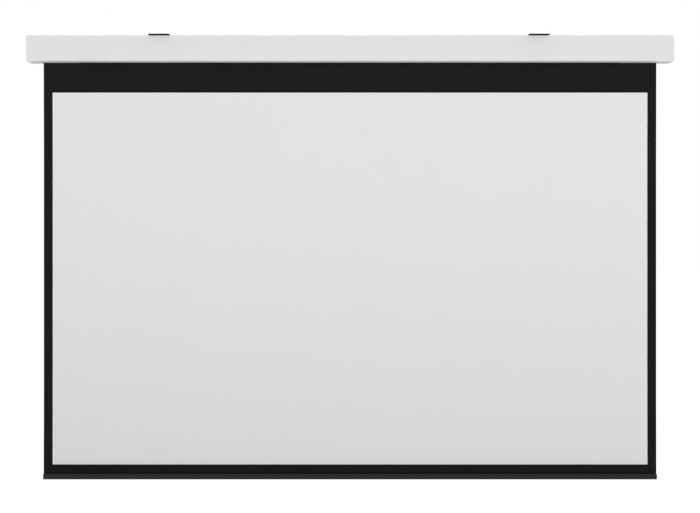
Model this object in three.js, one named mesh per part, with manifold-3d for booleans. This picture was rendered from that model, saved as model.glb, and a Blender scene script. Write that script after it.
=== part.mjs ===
// A motorized projection screen for a wall or ceiling: a long white case with a roller inside,
// which a tubular motor turns, and a black sheet with a white picture, kept flat by a weight bar.
// Millimetres. X runs along the case, Y from the viewer towards the wall, Z up.
// The origin is on the wall, midway along the case and level with its top.
import * as THREE from 'three';
import { mergeVertices } from 'three/addons/utils/BufferGeometryUtils.js';
import Module from 'manifold-3d';

const wasm = await Module();
wasm.setup();

// Driving dimensions: the picture and its black borders
const pictureWidth = 2000;
const pictureHeight = 1250;
const sideBorder = 30;
const dropBorder = 100;
const bottomBorder = 32;
const sheetThickness = 0.5;
const pictureThickness = 0.2;

// Driving dimensions: the case
const caseOverhang = 48;
const caseHeight = 85;
const caseDepth = 86;
const caseWall = 2;
const sheetBehindFront = 62.5;
const slotAhead = 9.6;
const slotBehind = 11.5;
const capFloor = 3;
const endPlateThickness = 3;
const leftHatchReach = 170;
const rightHatchReach = 176;

// Driving dimensions: the roller and its motor
const axisRise = 42;
const rollerRadius = 25;
const rollerWall = 2;
const rollerOverhang = 4;
const leftoverTurns = 3;
const motorRadius = 17.5;
const motorWall = 1.5;

// Driving dimensions: the weight bar
const barHeight = 18;
const barDepth = 18;
const barOverhang = 1;
const barCapThickness = 2;

// Driving dimensions: the wall brackets
const bracketWidth = 70;
const bracketThickness = 1.5;
const wallScrewRoom = 5;
const earReach = 34;
const leftBracketInset = 444;
const rightBracketInset = 450;

// Fits: seated pieces, turning pieces and how far a cut runs past the face that it opens
const seatGap = 0.3;
const runGap = 1;
const overrun = 1;

// How finely round shapes are drawn
const tubeSides = 32;
const barSides = 24;
const pinSides = 12;
const slotSides = 4;

// Finishes: colour, roughness and metalness
const finishes = {
  whiteCase: [0xe6e6e8, 0.5, 0],
  whitePlastic: [0xe2e2e4, 0.55, 0],
  blackSheet: [0x1c1c1e, 0.9, 0],
  whitePicture: [0xf0f0f1, 0.9, 0],
  blackMetal: [0x1a1a1b, 0.45, 0.3],
  blackBar: [0x2b2b2d, 0.5, 0.2],
  blackPlastic: [0x202022, 0.55, 0],
  zinc: [0xb9bcc0, 0.35, 0.9],
  aluminium: [0xc4c6c9, 0.4, 0.9],
  steel: [0x9a9da1, 0.4, 0.9],
  laminations: [0x5d6065, 0.5, 0.7],
  copper: [0xb06a3a, 0.4, 0.9],
  greyPlastic: [0x8b8e92, 0.6, 0],
  nylon: [0xd9d6cc, 0.6, 0],
  circuitGreen: [0x2d6b3f, 0.6, 0],
};

// Places that follow from the driving dimensions
const sheetWidth = pictureWidth + 2 * sideBorder;
const sheetHalf = sheetWidth / 2;
const caseHalf = sheetHalf + caseOverhang;
const capInner = caseHalf - capFloor;
const endPlateInner = capInner - seatGap - endPlateThickness;
const shellHalf = endPlateInner - seatGap;
const rollerHalf = sheetHalf + rollerOverhang;
const hangBelowCase = dropBorder + pictureHeight + bottomBorder;
const rollInner = rollerRadius + seatGap;
const rollOuter = rollInner + leftoverTurns * sheetThickness;
const sheetBehindAxis = rollOuter + seatGap + sheetThickness / 2;
const axisBehindFront = sheetBehindFront - sheetBehindAxis;
const frontY = -(bracketThickness + wallScrewRoom + caseDepth);

// A box between two corners.
function block(x0, x1, y0, y1, z0, z1) {
  const box = new THREE.BoxGeometry(x1 - x0, y1 - y0, z1 - z0);
  return box.translate((x0 + x1) / 2, (y0 + y1) / 2, (z0 + z1) / 2);
}

// An outline drawn in Y and Z, drawn out along X.
function alongX(outline, x0, x1, curveSegments = pinSides) {
  const bar = new THREE.ExtrudeGeometry(outline, { depth: x1 - x0, bevelEnabled: false, curveSegments });
  return bar.applyMatrix4(new THREE.Matrix4().set(0, 0, 1, x0, 1, 0, 0, 0, 0, 1, 0, 0, 0, 0, 0, 1));
}

// An outline drawn in X and Z, drawn out along Y.
function alongY(outline, y0, y1, curveSegments = slotSides) {
  const bar = new THREE.ExtrudeGeometry(outline, { depth: y1 - y0, bevelEnabled: false, curveSegments });
  return bar.applyMatrix4(new THREE.Matrix4().set(1, 0, 0, 0, 0, 0, -1, y1, 0, 1, 0, 0, 0, 0, 0, 1));
}

// A profile of [x, radius] points turned about the X axis. It starts and ends on the axis or closes
// on itself, and its outer side runs towards +X.
function turned(points, sides = tubeSides) {
  const lathe = new THREE.LatheGeometry(points.map(([x, r]) => new THREE.Vector2(r, x)), sides);
  return lathe.applyMatrix4(new THREE.Matrix4().set(0, 1, 0, 0, 0, 0, 1, 0, 1, 0, 0, 0, 0, 0, 0, 1));
}

// A solid round bar along X.
function roundBar(radius, x0, x1, sides = tubeSides) {
  return turned([[x0, 0], [x0, radius], [x1, radius], [x1, 0]], sides);
}

// A round tube along X.
function roundTube(outer, inner, x0, x1, sides = tubeSides) {
  return turned([[x0, inner], [x0, outer], [x1, outer], [x1, inner], [x0, inner]], sides);
}

// Turns a piece that lies along X, so that it stands along Z.
function upright(geometry) {
  return geometry.rotateY(-Math.PI / 2);
}

// A closed polygon through [a, b] points.
function polygon(points) {
  return new THREE.Shape(points.map(([a, b]) => new THREE.Vector2(a, b)));
}

// A rectangle between two corners.
function rectangle(a0, a1, b0, b1) {
  return polygon([[a0, b0], [a1, b0], [a1, b1], [a0, b1]]);
}

// A slot with round ends, longer along its first axis.
function roundSlot(a, b, length, width) {
  const reach = (length - width) / 2;
  const slot = new THREE.Shape();
  slot.absarc(a + reach, b, width / 2, -Math.PI / 2, Math.PI / 2, false);
  slot.absarc(a - reach, b, width / 2, Math.PI / 2, Math.PI * 1.5, false);
  return slot;
}

// A closed mesh as a solid that can be joined and cut. Triangles with no area are left out.
function solid(geometry) {
  const bare = geometry.clone();
  bare.deleteAttribute('normal');
  bare.deleteAttribute('uv');
  const merged = mergeVertices(bare);
  const index = merged.index.array;
  const kept = [];
  for (let i = 0; i < index.length; i += 3) {
    const [a, b, c] = index.slice(i, i + 3);
    if (a !== b && b !== c && c !== a) kept.push(a, b, c);
  }
  return new wasm.Manifold(new wasm.Mesh({
    numProp: 3,
    vertProperties: new Float32Array(merged.attributes.position.array),
    triVerts: new Uint32Array(kept),
  }));
}

// A solid turned back into a mesh.
function meshed(body) {
  const mesh = body.getMesh();
  const geometry = new THREE.BufferGeometry();
  geometry.setAttribute('position', new THREE.BufferAttribute(mesh.vertProperties, mesh.numProp));
  geometry.setIndex(new THREE.BufferAttribute(mesh.triVerts, 1));
  return geometry;
}

// One piece joined from several.
function joined(...pieces) {
  return meshed(pieces.map(solid).reduce((whole, piece) => whole.add(piece)));
}

// A piece with others cut away.
function cutAway(piece, ...cutters) {
  return meshed(cutters.map(solid).reduce((rest, cutter) => rest.subtract(cutter), solid(piece)));
}

// A group at a place, in which names and shapes become meshes.
function group(parent, x, y, z) {
  const place = new THREE.Group();
  place.position.set(x, y, z);
  parent.add(place);
  return place;
}

function add(parent, name, geometry, finish) {
  const [color, roughness, metalness] = finishes[finish];
  const mesh = new THREE.Mesh(geometry, new THREE.MeshStandardMaterial({ color, roughness, metalness }));
  mesh.name = name;
  parent.add(mesh);
}

// Countersunk screw, shared by the end caps and the hatches
const screwRadius = 1.7;
const screwHeadRadius = 3.8;
const screwHeadDepth = 2.1;
const screwHeadSink = 0.2;
const crossLength = 4;
const crossWidth = 0.9;
const crossDepth = 1.4;

// The screw lies along +X with its head's face at zero.
function countersunkScrew(length) {
  const blank = turned([
    [screwHeadSink, 0],
    [screwHeadSink, screwHeadRadius],
    [screwHeadSink + screwHeadDepth, screwRadius],
    [length, screwRadius],
    [length, 0],
  ], pinSides);
  const half = crossLength / 2;
  const arm = crossWidth / 2;
  const floor = screwHeadSink + crossDepth;
  return cutAway(
    blank,
    block(-overrun, floor, -half, half, -arm, arm),
    block(-overrun, floor, -arm, arm, -half, half),
  );
}

// The hole that such a screw sits in.
function screwHole(length) {
  return turned([
    [-overrun, 0],
    [-overrun, screwHeadRadius + seatGap],
    [screwHeadSink, screwHeadRadius + seatGap],
    [screwHeadSink + screwHeadDepth, screwRadius + seatGap],
    [length + overrun, screwRadius + seatGap],
    [length + overrun, 0],
  ], pinSides);
}

// Case shell: one aluminium extrusion with a track for bolts in its top, an open slot under the
// sheet, and two screw ports along its corners
const trackBehindFront = 50;
const trackMouth = 9;
const trackWidth = 16;
const trackDepth = 6;
const portRadius = 4.2;
const portSink = 0.6;
const hatchFrontStrip = 20;
const hatchAhead = 2.3;
const badgeWidth = 88.5;
const badgeHeight = 37.6;
const badgeThickness = 1;
const badgeInset = 214;
const badgeRise = 8.2;

const badgeX = badgeInset - caseHalf;
const portBore = screwRadius + seatGap;
const portInset = caseWall + portRadius - portSink;
const ports = [
  [portInset, caseHeight - portInset],
  [caseDepth - portInset, portInset],
];

// The extrusion's section, from the slot's front lip round the case and back along the inside.
function caseSection() {
  const inner = caseHeight - caseWall;
  const lip = sheetBehindFront - slotAhead;
  const rearLip = sheetBehindFront + slotBehind;
  const mouth0 = trackBehindFront - trackMouth / 2;
  const mouth1 = trackBehindFront + trackMouth / 2;
  const track0 = trackBehindFront - trackWidth / 2;
  const track1 = trackBehindFront + trackWidth / 2;
  const trackFloor = inner - trackDepth;
  return polygon([
    [lip, 0], [lip, caseWall], [caseWall, caseWall], [caseWall, inner],
    [track0 - caseWall, inner], [track0 - caseWall, trackFloor - caseWall],
    [track1 + caseWall, trackFloor - caseWall], [track1 + caseWall, inner],
    [caseDepth - caseWall, inner], [caseDepth - caseWall, caseWall], [rearLip, caseWall],
    [rearLip, 0], [caseDepth, 0], [caseDepth, caseHeight], [mouth1, caseHeight],
    [mouth1, inner], [track1, inner], [track1, trackFloor], [track0, trackFloor],
    [track0, inner], [mouth0, inner], [mouth0, caseHeight], [0, caseHeight], [0, 0],
  ]);
}

function badgeRecess() {
  return block(
    badgeX - badgeWidth / 2 - seatGap, badgeX + badgeWidth / 2 + seatGap,
    -overrun, badgeThickness + seatGap,
    badgeRise - seatGap, badgeRise + badgeHeight + seatGap,
  );
}

function caseShell() {
  const portRods = ports.map(([y, z]) => roundBar(portRadius, -shellHalf, shellHalf, pinSides).translate(0, y, z));
  const portBores = ports.map(([y, z]) => (
    roundBar(portBore, -shellHalf - overrun, shellHalf + overrun, pinSides).translate(0, y, z)));
  const hatchCuts = [[-caseHalf, leftHatchReach - caseHalf], [caseHalf - rightHatchReach, caseHalf]].map(
    ([x0, x1]) => block(x0, x1, hatchFrontStrip - seatGap, sheetBehindFront, -overrun, caseWall + overrun));
  const blank = joined(alongX(caseSection(), -shellHalf, shellHalf), ...portRods);
  return cutAway(blank, ...portBores, ...hatchCuts, badgeRecess());
}

function badgePlate() {
  return block(
    badgeX - badgeWidth / 2, badgeX + badgeWidth / 2, 0, badgeThickness, badgeRise, badgeRise + badgeHeight);
}

// Hatches: flush plates under both ends of the slot. A tongue hooks over the shell's lower wall at
// the inner end, and two screws hold the outer end to the end plate's foot.
const tongueReach = 10;
const tongueRise = 4;
const footReach = 12;
const footWidth = 32;
const footThickness = 3;
const footScrewShares = [0.2, 0.8];
const screwdriverHole = 8;

const footFront = hatchFrontStrip + (sheetBehindFront - hatchAhead - hatchFrontStrip - footWidth) / 2;
const footScrewX = endPlateInner - footReach / 2;
const footScrewYs = footScrewShares.map((share) => footFront + share * footWidth);

// The hatch is drawn for the right end, and its section is mirrored for the left one.
function hatch(side, reach) {
  const inner = caseHalf - reach;
  const tongueFloor = caseWall + seatGap;
  const tongueTop = tongueFloor + caseWall;
  const section = [
    [inner + seatGap, 0], [shellHalf, 0], [shellHalf, caseWall], [inner + tongueRise, caseWall],
    [inner + tongueRise, tongueTop], [inner - tongueReach, tongueTop],
    [inner - tongueReach, tongueFloor], [inner + seatGap, tongueFloor],
  ];
  const outline = side > 0 ? section : section.map(([x, z]) => [-x, z]).reverse();
  const plate = alongY(polygon(outline), hatchFrontStrip, sheetBehindFront - hatchAhead);
  const holes = footScrewYs.map((y) => upright(screwHole(caseWall)).translate(side * footScrewX, y, 0));
  return side > 0 ? cutAway(plate, ...holes) : cutAway(plate, ...holes, ...screwdriverHoles());
}

// Two holes under the motor head, through which the limit screws are set.
function screwdriverHoles() {
  return limitScrewXs.map((x) => upright(
    roundBar(screwdriverHole / 2, -overrun, caseWall + overrun, barSides)).translate(x, axisBehindFront, 0));
}

// End caps: shallow moulded cups that carry the outline of the case past the end plates
const capScrewLength = capFloor + seatGap + endPlateThickness + 14;
const inletY = 74;
const inletRise = 26;
const inletBodyWidth = 16;
const inletBodyHeight = 24;
const inletBodyLength = 16;
const inletFlangeWidth = 20;
const inletFlangeHeight = 30;
const inletFlangeThickness = 1.5;
const socketWidth = 11;
const socketHeight = 18;
const socketDepth = 12;
const inletPinRadius = 1.2;
const inletPinSpacing = 9.4;
const inletPinLength = 9;

function endCap(side) {
  const cup = block(endPlateInner, caseHalf, 0, caseDepth, 0, caseHeight);
  const pocket = block(
    endPlateInner - overrun, capInner, caseWall, caseDepth - caseWall, caseWall, caseHeight - caseWall);
  const holes = ports.map(([y, z]) => screwHole(capFloor).rotateZ(Math.PI).translate(caseHalf, y, z));
  const cap = cutAway(cup, pocket, ...holes);
  if (side > 0) return cap;
  return cutAway(meshed(solid(cap).mirror([1, 0, 0])), inletFlangeRecess(), inletBodyHole());
}

function inletFlangeRecess() {
  const y = inletFlangeWidth / 2 + seatGap;
  const z = inletFlangeHeight / 2 + seatGap;
  const floor = inletFlangeThickness + seatGap - caseHalf;
  return block(-caseHalf - overrun, floor, inletY - y, inletY + y, inletRise - z, inletRise + z);
}

function inletBodyHole() {
  const y = inletBodyWidth / 2 + seatGap;
  const z = inletBodyHeight / 2 + seatGap;
  return block(
    -caseHalf - overrun, inletBodyLength - caseHalf, inletY - y, inletY + y, inletRise - z, inletRise + z);
}

// Power inlet: a panel socket with two pins, flush in the left cap. It has no lead of its own.
function powerInlet() {
  const outer = -caseHalf;
  const bodyEnd = outer + inletBodyLength;
  const part = (width, height, x0, x1) => (
    block(x0, x1, inletY - width / 2, inletY + width / 2, inletRise - height / 2, inletRise + height / 2));
  const shellPart = cutAway(
    joined(
      part(inletFlangeWidth, inletFlangeHeight, outer, outer + inletFlangeThickness),
      part(inletBodyWidth, inletBodyHeight, outer, bodyEnd),
    ),
    part(socketWidth, socketHeight, outer - overrun, outer + socketDepth),
  );
  const floor = outer + socketDepth;
  const pins = [-1, 1].map((end) => roundBar(inletPinRadius, floor - inletPinLength, floor + overrun, pinSides)
    .translate(0, inletY, inletRise + end * inletPinSpacing / 2));
  return joined(shellPart, ...pins);
}

// End plates: steel plates between the caps and the shell. Each has a foot for the hatch screws and
// a boss that carries one end of the roller.
const motorBossRadius = 12;
const motorBossLength = 8;
const stubWidth = 10;
const idlerBossRadius = 15;
const idlerBossLength = 12;
const bearingRadius = 11;
const bearingWidth = 7;
const idlerPinRadius = 4;
const cotterRadius = 1.2;
const cotterReach = 15;
const cotterHeadRadius = 2.6;
const cotterHeadLength = 2;

const motorBossEnd = endPlateInner - motorBossLength;
const idlerBossEnd = endPlateInner - idlerBossLength;
const cotterX = endPlateInner - motorBossLength / 2;

function endPlate(side, bossRadius, bossLength) {
  const margin = caseWall + seatGap;
  const sheet = block(
    endPlateInner, endPlateInner + endPlateThickness,
    margin, caseDepth - margin, margin, caseHeight - margin);
  const foot = block(
    endPlateInner - footReach, endPlateInner + overrun,
    footFront, footFront + footWidth, margin, margin + footThickness);
  const boss = roundBar(bossRadius, endPlateInner - bossLength, endPlateInner + overrun)
    .translate(0, axisBehindFront, axisRise);
  const portHoles = ports.map(([y, z]) => (
    roundBar(portBore, endPlateInner - overrun, capInner + overrun, pinSides).translate(0, y, z)));
  const footHoles = footScrewYs.map((y) => (
    upright(roundBar(portBore, 0, margin + footThickness + overrun, pinSides)).translate(footScrewX, y, 0)));
  const plate = cutAway(joined(sheet, foot, boss), ...portHoles, ...footHoles);
  return side > 0 ? plate : meshed(solid(plate).mirror([1, 0, 0]));
}

function motorPlate() {
  const half = stubWidth / 2 + seatGap;
  const socket = block(
    -capInner - overrun, overrun - motorBossEnd,
    axisBehindFront - half, axisBehindFront + half, axisRise - half, axisRise + half);
  const cotterHole = upright(roundBar(cotterRadius + seatGap, -cotterReach, cotterReach, pinSides))
    .translate(-cotterX, axisBehindFront, axisRise);
  const inletNotch = block(
    -capInner, overrun - endPlateInner, inletY - inletBodyWidth / 2 - seatGap, caseDepth,
    inletRise - inletBodyHeight / 2 - seatGap, inletRise + inletBodyHeight / 2 + seatGap);
  return cutAway(endPlate(-1, motorBossRadius, motorBossLength), socket, cotterHole, inletNotch);
}

function idlerPlate() {
  const bearingSeat = roundBar(bearingRadius + seatGap, idlerBossEnd - overrun, idlerBossEnd + bearingWidth + seatGap)
    .translate(0, axisBehindFront, axisRise);
  const pinHole = roundBar(idlerPinRadius + runGap, idlerBossEnd, capInner, barSides)
    .translate(0, axisBehindFront, axisRise);
  return cutAway(endPlate(1, idlerBossRadius, idlerBossLength), bearingSeat, pinHole);
}

// The motor head is held by this pin, dropped through the boss and the head's square stub.
function headCotterPin() {
  return joined(
    upright(roundBar(cotterRadius, -cotterReach, cotterReach, pinSides)),
    upright(roundBar(cotterHeadRadius, cotterReach, cotterReach + cotterHeadLength, pinSides)),
  ).translate(-cotterX, axisBehindFront, axisRise);
}

// Roller: an aluminium tube with a groove for the sheet's spline. Its ends sit on plugs.
const plugFlange = 2;
const plugLength = 22;
const crownLength = 16;
const grooveMouth = 4;
const grooveWidth = 8.4;
const grooveLip = 1.2;
const grooveDepth = 2.2;
const grooveWall = 1.2;

const rollerInner = rollerRadius - rollerWall;
const grooveTop = rollerRadius - grooveLip;
const ribHalf = grooveWidth / 2 + grooveWall;
const ribFloor = grooveTop - grooveDepth - grooveWall;
const plugRadius = rollerInner - seatGap;
const flangeInner = rollerHalf + seatGap;
const flangeOuter = flangeInner + plugFlange;

// A circle that a straight-sided notch enters from the top, down to a floor.
function notchedCircle(path, radius, notchHalf, notchFloor) {
  const turn = Math.asin(notchHalf / radius);
  path.absarc(0, 0, radius, Math.PI / 2 + turn, Math.PI * 2.5 - turn, false);
  path.lineTo(notchHalf, notchFloor);
  path.lineTo(-notchHalf, notchFloor);
  path.closePath();
  return path;
}

function rollerTube() {
  const section = new THREE.Shape();
  const turn = Math.asin(grooveMouth / 2 / rollerRadius);
  section.absarc(0, 0, rollerRadius, Math.PI / 2 + turn, Math.PI * 2.5 - turn, false);
  for (const [y, z] of [
    [grooveMouth / 2, grooveTop], [grooveWidth / 2, grooveTop], [grooveWidth / 2, grooveTop - grooveDepth],
    [-grooveWidth / 2, grooveTop - grooveDepth], [-grooveWidth / 2, grooveTop], [-grooveMouth / 2, grooveTop],
  ]) section.lineTo(y, z);
  section.closePath();
  section.holes.push(notchedCircle(new THREE.Path(), rollerInner, ribHalf, ribFloor));
  return alongX(section, -rollerHalf, rollerHalf, tubeSides / 2);
}

// A round plug whose notch clears the groove's rib, with a flange outside the tube's end.
function tubePlug(hole, x0, x1, flangeX0, flangeX1) {
  const section = notchedCircle(new THREE.Shape(), plugRadius, ribHalf + seatGap, ribFloor - seatGap);
  section.holes.push(hole);
  const flange = new THREE.Shape().absarc(0, 0, rollerRadius, 0, Math.PI * 2, false);
  flange.holes.push(hole);
  return joined(alongX(section, x0, x1), alongX(flange, flangeX0, flangeX1));
}

function roundHole(radius) {
  return new THREE.Path().absarc(0, 0, radius, 0, Math.PI * 2, true);
}

function fabricRoll() {
  return roundTube(rollOuter, rollInner, -sheetHalf, sheetHalf);
}

function fabricSpline() {
  const half = grooveWidth / 2 - seatGap;
  return block(
    -sheetHalf, sheetHalf, -half, half, grooveTop - grooveDepth + seatGap, grooveTop - seatGap);
}

// Right end: a plug in the tube, a steel pin and a ball bearing in the end plate's boss
const pinInPlugShare = 0.8;

function idlerPlug() {
  return tubePlug(
    roundHole(idlerPinRadius + seatGap), rollerHalf - plugLength, flangeOuter, flangeInner, flangeOuter);
}

function idlerPin() {
  const start = rollerHalf - plugLength * pinInPlugShare;
  return roundBar(idlerPinRadius, start, idlerBossEnd + bearingWidth + runGap, barSides);
}

function idlerBearing() {
  return roundTube(bearingRadius, idlerPinRadius + seatGap, idlerBossEnd, idlerBossEnd + bearingWidth);
}

// Left end: the tubular motor. Its head hangs on the end plate, its tube stays still inside the
// roller, and its output shaft drives the roller from within.
const headRadius = 22;
const spigotLength = 12;
const glandWidth = 12;
const glandReach = 2;
const limitScrewRadius = 2.5;
const limitScrewLength = 12;
const limitScrewSink = 0.5;
const limitScrewShares = [0.3, 0.7];
const hexAcrossCorners = 3.4;
const hexDepth = 3;
const motorLeadRadius = 3;
const inletLeadRadius = 2.6;
const leadSides = 10;
const leadSteps = 10;

const headInner = flangeOuter + runGap;
const headOuter = motorBossEnd - runGap;
const motorInner = motorRadius - motorWall;
const coreRadius = motorInner - seatGap;
const limitScrewXs = limitScrewShares.map((share) => -(headInner + share * (headOuter - headInner)));
const leadX = -(headInner + headOuter) / 2;
const limitScrewFoot = axisRise - headRadius + limitScrewSink;

function motorHead() {
  const body = joined(
    roundBar(headRadius, -headOuter, -headInner),
    roundBar(coreRadius, -headInner - overrun, spigotLength - headInner),
    block(-endPlateInner - endPlateThickness / 2, overrun - headOuter,
      -stubWidth / 2, stubWidth / 2, -stubWidth / 2, stubWidth / 2),
    block(leadX - glandWidth / 2, leadX + glandWidth / 2, 0, headRadius + glandReach,
      -glandWidth / 2, glandWidth / 2),
  );
  const cotterHole = upright(roundBar(cotterRadius + seatGap, -stubWidth, stubWidth, pinSides))
    .translate(-cotterX, 0, 0);
  const screwBores = limitScrewXs.map((x) => upright(
    roundBar(limitScrewRadius + seatGap, -headRadius - overrun, limitScrewLength - headRadius + seatGap + overrun,
      barSides)).translate(x, 0, 0));
  return cutAway(body, cotterHole, ...screwBores);
}

// A limit screw stands upright under the head, with its hex socket facing the hatch.
function limitScrew() {
  const top = limitScrewLength;
  const hex = turned(
    [[-overrun, 0], [-overrun, hexAcrossCorners / 2], [hexDepth, hexAcrossCorners / 2], [hexDepth, 0]], 6);
  return upright(cutAway(roundBar(limitScrewRadius, 0, top, barSides), hex));
}

// The motor's inner stack, from the head towards the output: each length, end to end.
const switchLength = 70;
const capacitorLength = 68;
const bellLength = 8;
const statorLength = 100;
const gearLength = 16;
const carrierThickness = 6;
const bushLength = 14;
const wireFlatShare = 0.78;
const statorBore = 9;
const statorSlots = 8;
const slotReach = 13;
const slotWidth = 4;
const airGap = 0.5;
const shaftRadius = 2.5;

const stack = {};
let stackEnd = spigotLength - headInner;
for (const [name, length] of [
  ['switches', switchLength], ['capacitor', capacitorLength], ['leftBell', bellLength],
  ['stator', statorLength], ['rightBell', bellLength], ['gears', gearLength + seatGap + carrierThickness],
  ['bush', bushLength],
]) {
  stack[name] = [stackEnd + seatGap, stackEnd + seatGap + length];
  stackEnd += seatGap + length;
}

function motorTube() {
  return roundTube(motorRadius, motorInner, seatGap - headInner, stackEnd);
}

function limitSwitchBlock() {
  const [x0, x1] = stack.switches;
  return cutAway(
    roundBar(coreRadius, x0, x1),
    block(x0 - overrun, x1 + overrun, coreRadius * wireFlatShare, coreRadius + overrun, -coreRadius, coreRadius),
  );
}

function capacitor() {
  return roundBar(coreRadius, ...stack.capacitor);
}

function endBell(name) {
  return roundTube(coreRadius, shaftRadius + seatGap, ...stack[name]);
}

// Steel laminations with open slots for the windings.
function stator() {
  const section = new THREE.Shape().absarc(0, 0, coreRadius, 0, Math.PI * 2, false);
  const bore = [];
  for (let i = 0; i < statorSlots; i += 1) {
    const angle = (i / statorSlots) * Math.PI * 2;
    const [c, s] = [Math.cos(angle), Math.sin(angle)];
    const neck = Math.sqrt(statorBore ** 2 - (slotWidth / 2) ** 2);
    for (const [along, across] of [
      [neck, -slotWidth / 2], [slotReach, -slotWidth / 2], [slotReach, slotWidth / 2], [neck, slotWidth / 2],
    ]) bore.push(new THREE.Vector2(along * c - across * s, along * s + across * c));
    const middle = angle + Math.PI / statorSlots;
    bore.push(new THREE.Vector2(statorBore * Math.cos(middle), statorBore * Math.sin(middle)));
  }
  section.holes.push(new THREE.Path(bore));
  return alongX(section, ...stack.stator);
}

// Gears: one planetary stage. The ring is fixed, the rotor's sun drives three planets, and their
// carrier turns the roller. Teeth are involutes with some play.
const gearModule = 0.75;
const sunTeeth = 12;
const planetTeeth = 12;
const pressureAngle = THREE.MathUtils.degToRad(20);
const toothPlay = 0.12;
const toothTipShare = 0.75;
const toothRootShare = 1.2;
const ringTipShare = 0.5;
const planetPinRadius = 1.6;
const flankSteps = 2;

const ringTeeth = sunTeeth + 2 * planetTeeth;
const sunRadius = gearModule * sunTeeth / 2;
const planetRadius = gearModule * planetTeeth / 2;
const ringRadius = gearModule * ringTeeth / 2;
const planetOrbit = sunRadius + planetRadius;
const planetAngles = [0, 1, 2].map((i) => (i / 3) * Math.PI * 2);

// The outline of a gear's teeth, or of a ring's spaces when the play is negative.
function gearOutline(teeth, inner, outer, play, phase) {
  const pitchRadius = gearModule * teeth / 2;
  const baseRadius = pitchRadius * Math.cos(pressureAngle);
  const involute = (angle) => Math.tan(angle) - angle;
  const halfTooth = (radius) => {
    const angle = Math.acos(Math.min(1, baseRadius / radius));
    return Math.PI / 2 / teeth + involute(pressureAngle) - involute(angle) - play / radius;
  };
  const flank = inner < baseRadius ? [inner] : [];
  for (let i = 0; i <= flankSteps; i += 1) {
    const start = Math.max(inner, baseRadius);
    flank.push(start + (outer - start) * (i / flankSteps));
  }
  const points = [];
  for (let tooth = 0; tooth < teeth; tooth += 1) {
    const middle = phase + (tooth / teeth) * Math.PI * 2;
    const at = (radius, turn) => points.push(
      new THREE.Vector2(radius * Math.cos(middle + turn), radius * Math.sin(middle + turn)));
    for (const radius of flank) at(radius, -halfTooth(radius));
    for (const radius of [...flank].reverse()) at(radius, halfTooth(radius));
  }
  return points;
}

function pinionOutline(teeth, phase) {
  const pitchRadius = gearModule * teeth / 2;
  const root = pitchRadius - gearModule * toothRootShare;
  return gearOutline(teeth, root, pitchRadius + gearModule * toothTipShare, toothPlay, phase);
}

function ringGear() {
  const section = new THREE.Shape().absarc(0, 0, coreRadius, 0, Math.PI * 2, false);
  const phase = Math.PI / ringTeeth;
  const spaces = gearOutline(
    ringTeeth, ringRadius - gearModule * ringTipShare, ringRadius + gearModule * toothRootShare, -toothPlay, phase);
  section.holes.push(new THREE.Path(spaces));
  return alongX(section, ...stack.gears);
}

function rotor() {
  const [core0, core1] = stack.stator;
  const gearEnd = stack.gears[0] + gearLength;
  return joined(
    roundBar(shaftRadius, stack.leftBell[0], gearEnd - runGap, barSides),
    roundBar(statorBore - airGap, core0 + runGap, core1 - runGap),
    alongX(new THREE.Shape(pinionOutline(sunTeeth, 0)), stack.gears[0] + seatGap, gearEnd),
  );
}

// A planet at its orbit, with a space facing the sun and another facing the ring.
function planet(angle) {
  const section = new THREE.Shape(pinionOutline(planetTeeth, angle + Math.PI / planetTeeth));
  section.holes.push(roundHole(planetPinRadius + seatGap));
  return alongX(section, stack.gears[0] + seatGap, stack.gears[0] + gearLength, pinSides / 2)
    .translate(0, planetOrbit * Math.cos(angle), planetOrbit * Math.sin(angle));
}

// Output: the carrier's shaft runs in the bush and turns the drive wheel by its square end
const outputRadius = 6;
const outputSquare = 8.4;
const driveWheelLength = 20;
const clipGrooveRadius = 3.6;
const clipRadius = 8;
const clipThickness = 1.2;
const clipOpening = 4;
const shaftTip = 4;

const carrierStart = stack.gears[0] + gearLength + seatGap;
const driveStart = stackEnd + runGap;
const driveEnd = driveStart + driveWheelLength;

function planetCarrier() {
  const disc = ringRadius - gearModule * ringTipShare - runGap;
  const pins = planetAngles.map((angle) => (
    roundBar(planetPinRadius, stack.gears[0] + seatGap, carrierStart + overrun, pinSides)
      .translate(0, planetOrbit * Math.cos(angle), planetOrbit * Math.sin(angle))));
  const half = outputSquare / 2;
  return joined(
    roundBar(disc, carrierStart, stack.gears[1]),
    roundBar(outputRadius, carrierStart, stackEnd + seatGap, barSides),
    block(stackEnd, driveEnd, -half, half, -half, half),
    roundBar(clipGrooveRadius, driveEnd - overrun, driveEnd + shaftTip, barSides),
    ...pins,
  );
}

function outputBush() {
  return roundTube(coreRadius, outputRadius + seatGap, ...stack.bush);
}

function driveWheel() {
  const half = outputSquare / 2 + seatGap;
  const section = notchedCircle(new THREE.Shape(), plugRadius, ribHalf + seatGap, ribFloor - seatGap);
  section.holes.push(rectangle(-half, half, -half, half));
  return alongX(section, driveStart, driveEnd);
}

// An open spring clip that keeps the wheel on the shaft.
function driveClip() {
  const inner = clipGrooveRadius + seatGap;
  const half = clipOpening / 2;
  const [turnOut, turnIn] = [Math.asin(half / clipRadius), Math.asin(half / inner)];
  const section = new THREE.Shape();
  section.absarc(0, 0, clipRadius, turnOut, Math.PI * 2 - turnOut, false);
  section.absarc(0, 0, inner, Math.PI * 2 - turnIn, turnIn, true);
  return alongX(section, driveEnd + seatGap, driveEnd + seatGap + clipThickness);
}

function crownRing() {
  return tubePlug(
    roundHole(motorRadius + seatGap), -flangeOuter, crownLength - rollerHalf, -flangeOuter, -flangeInner);
}

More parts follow.
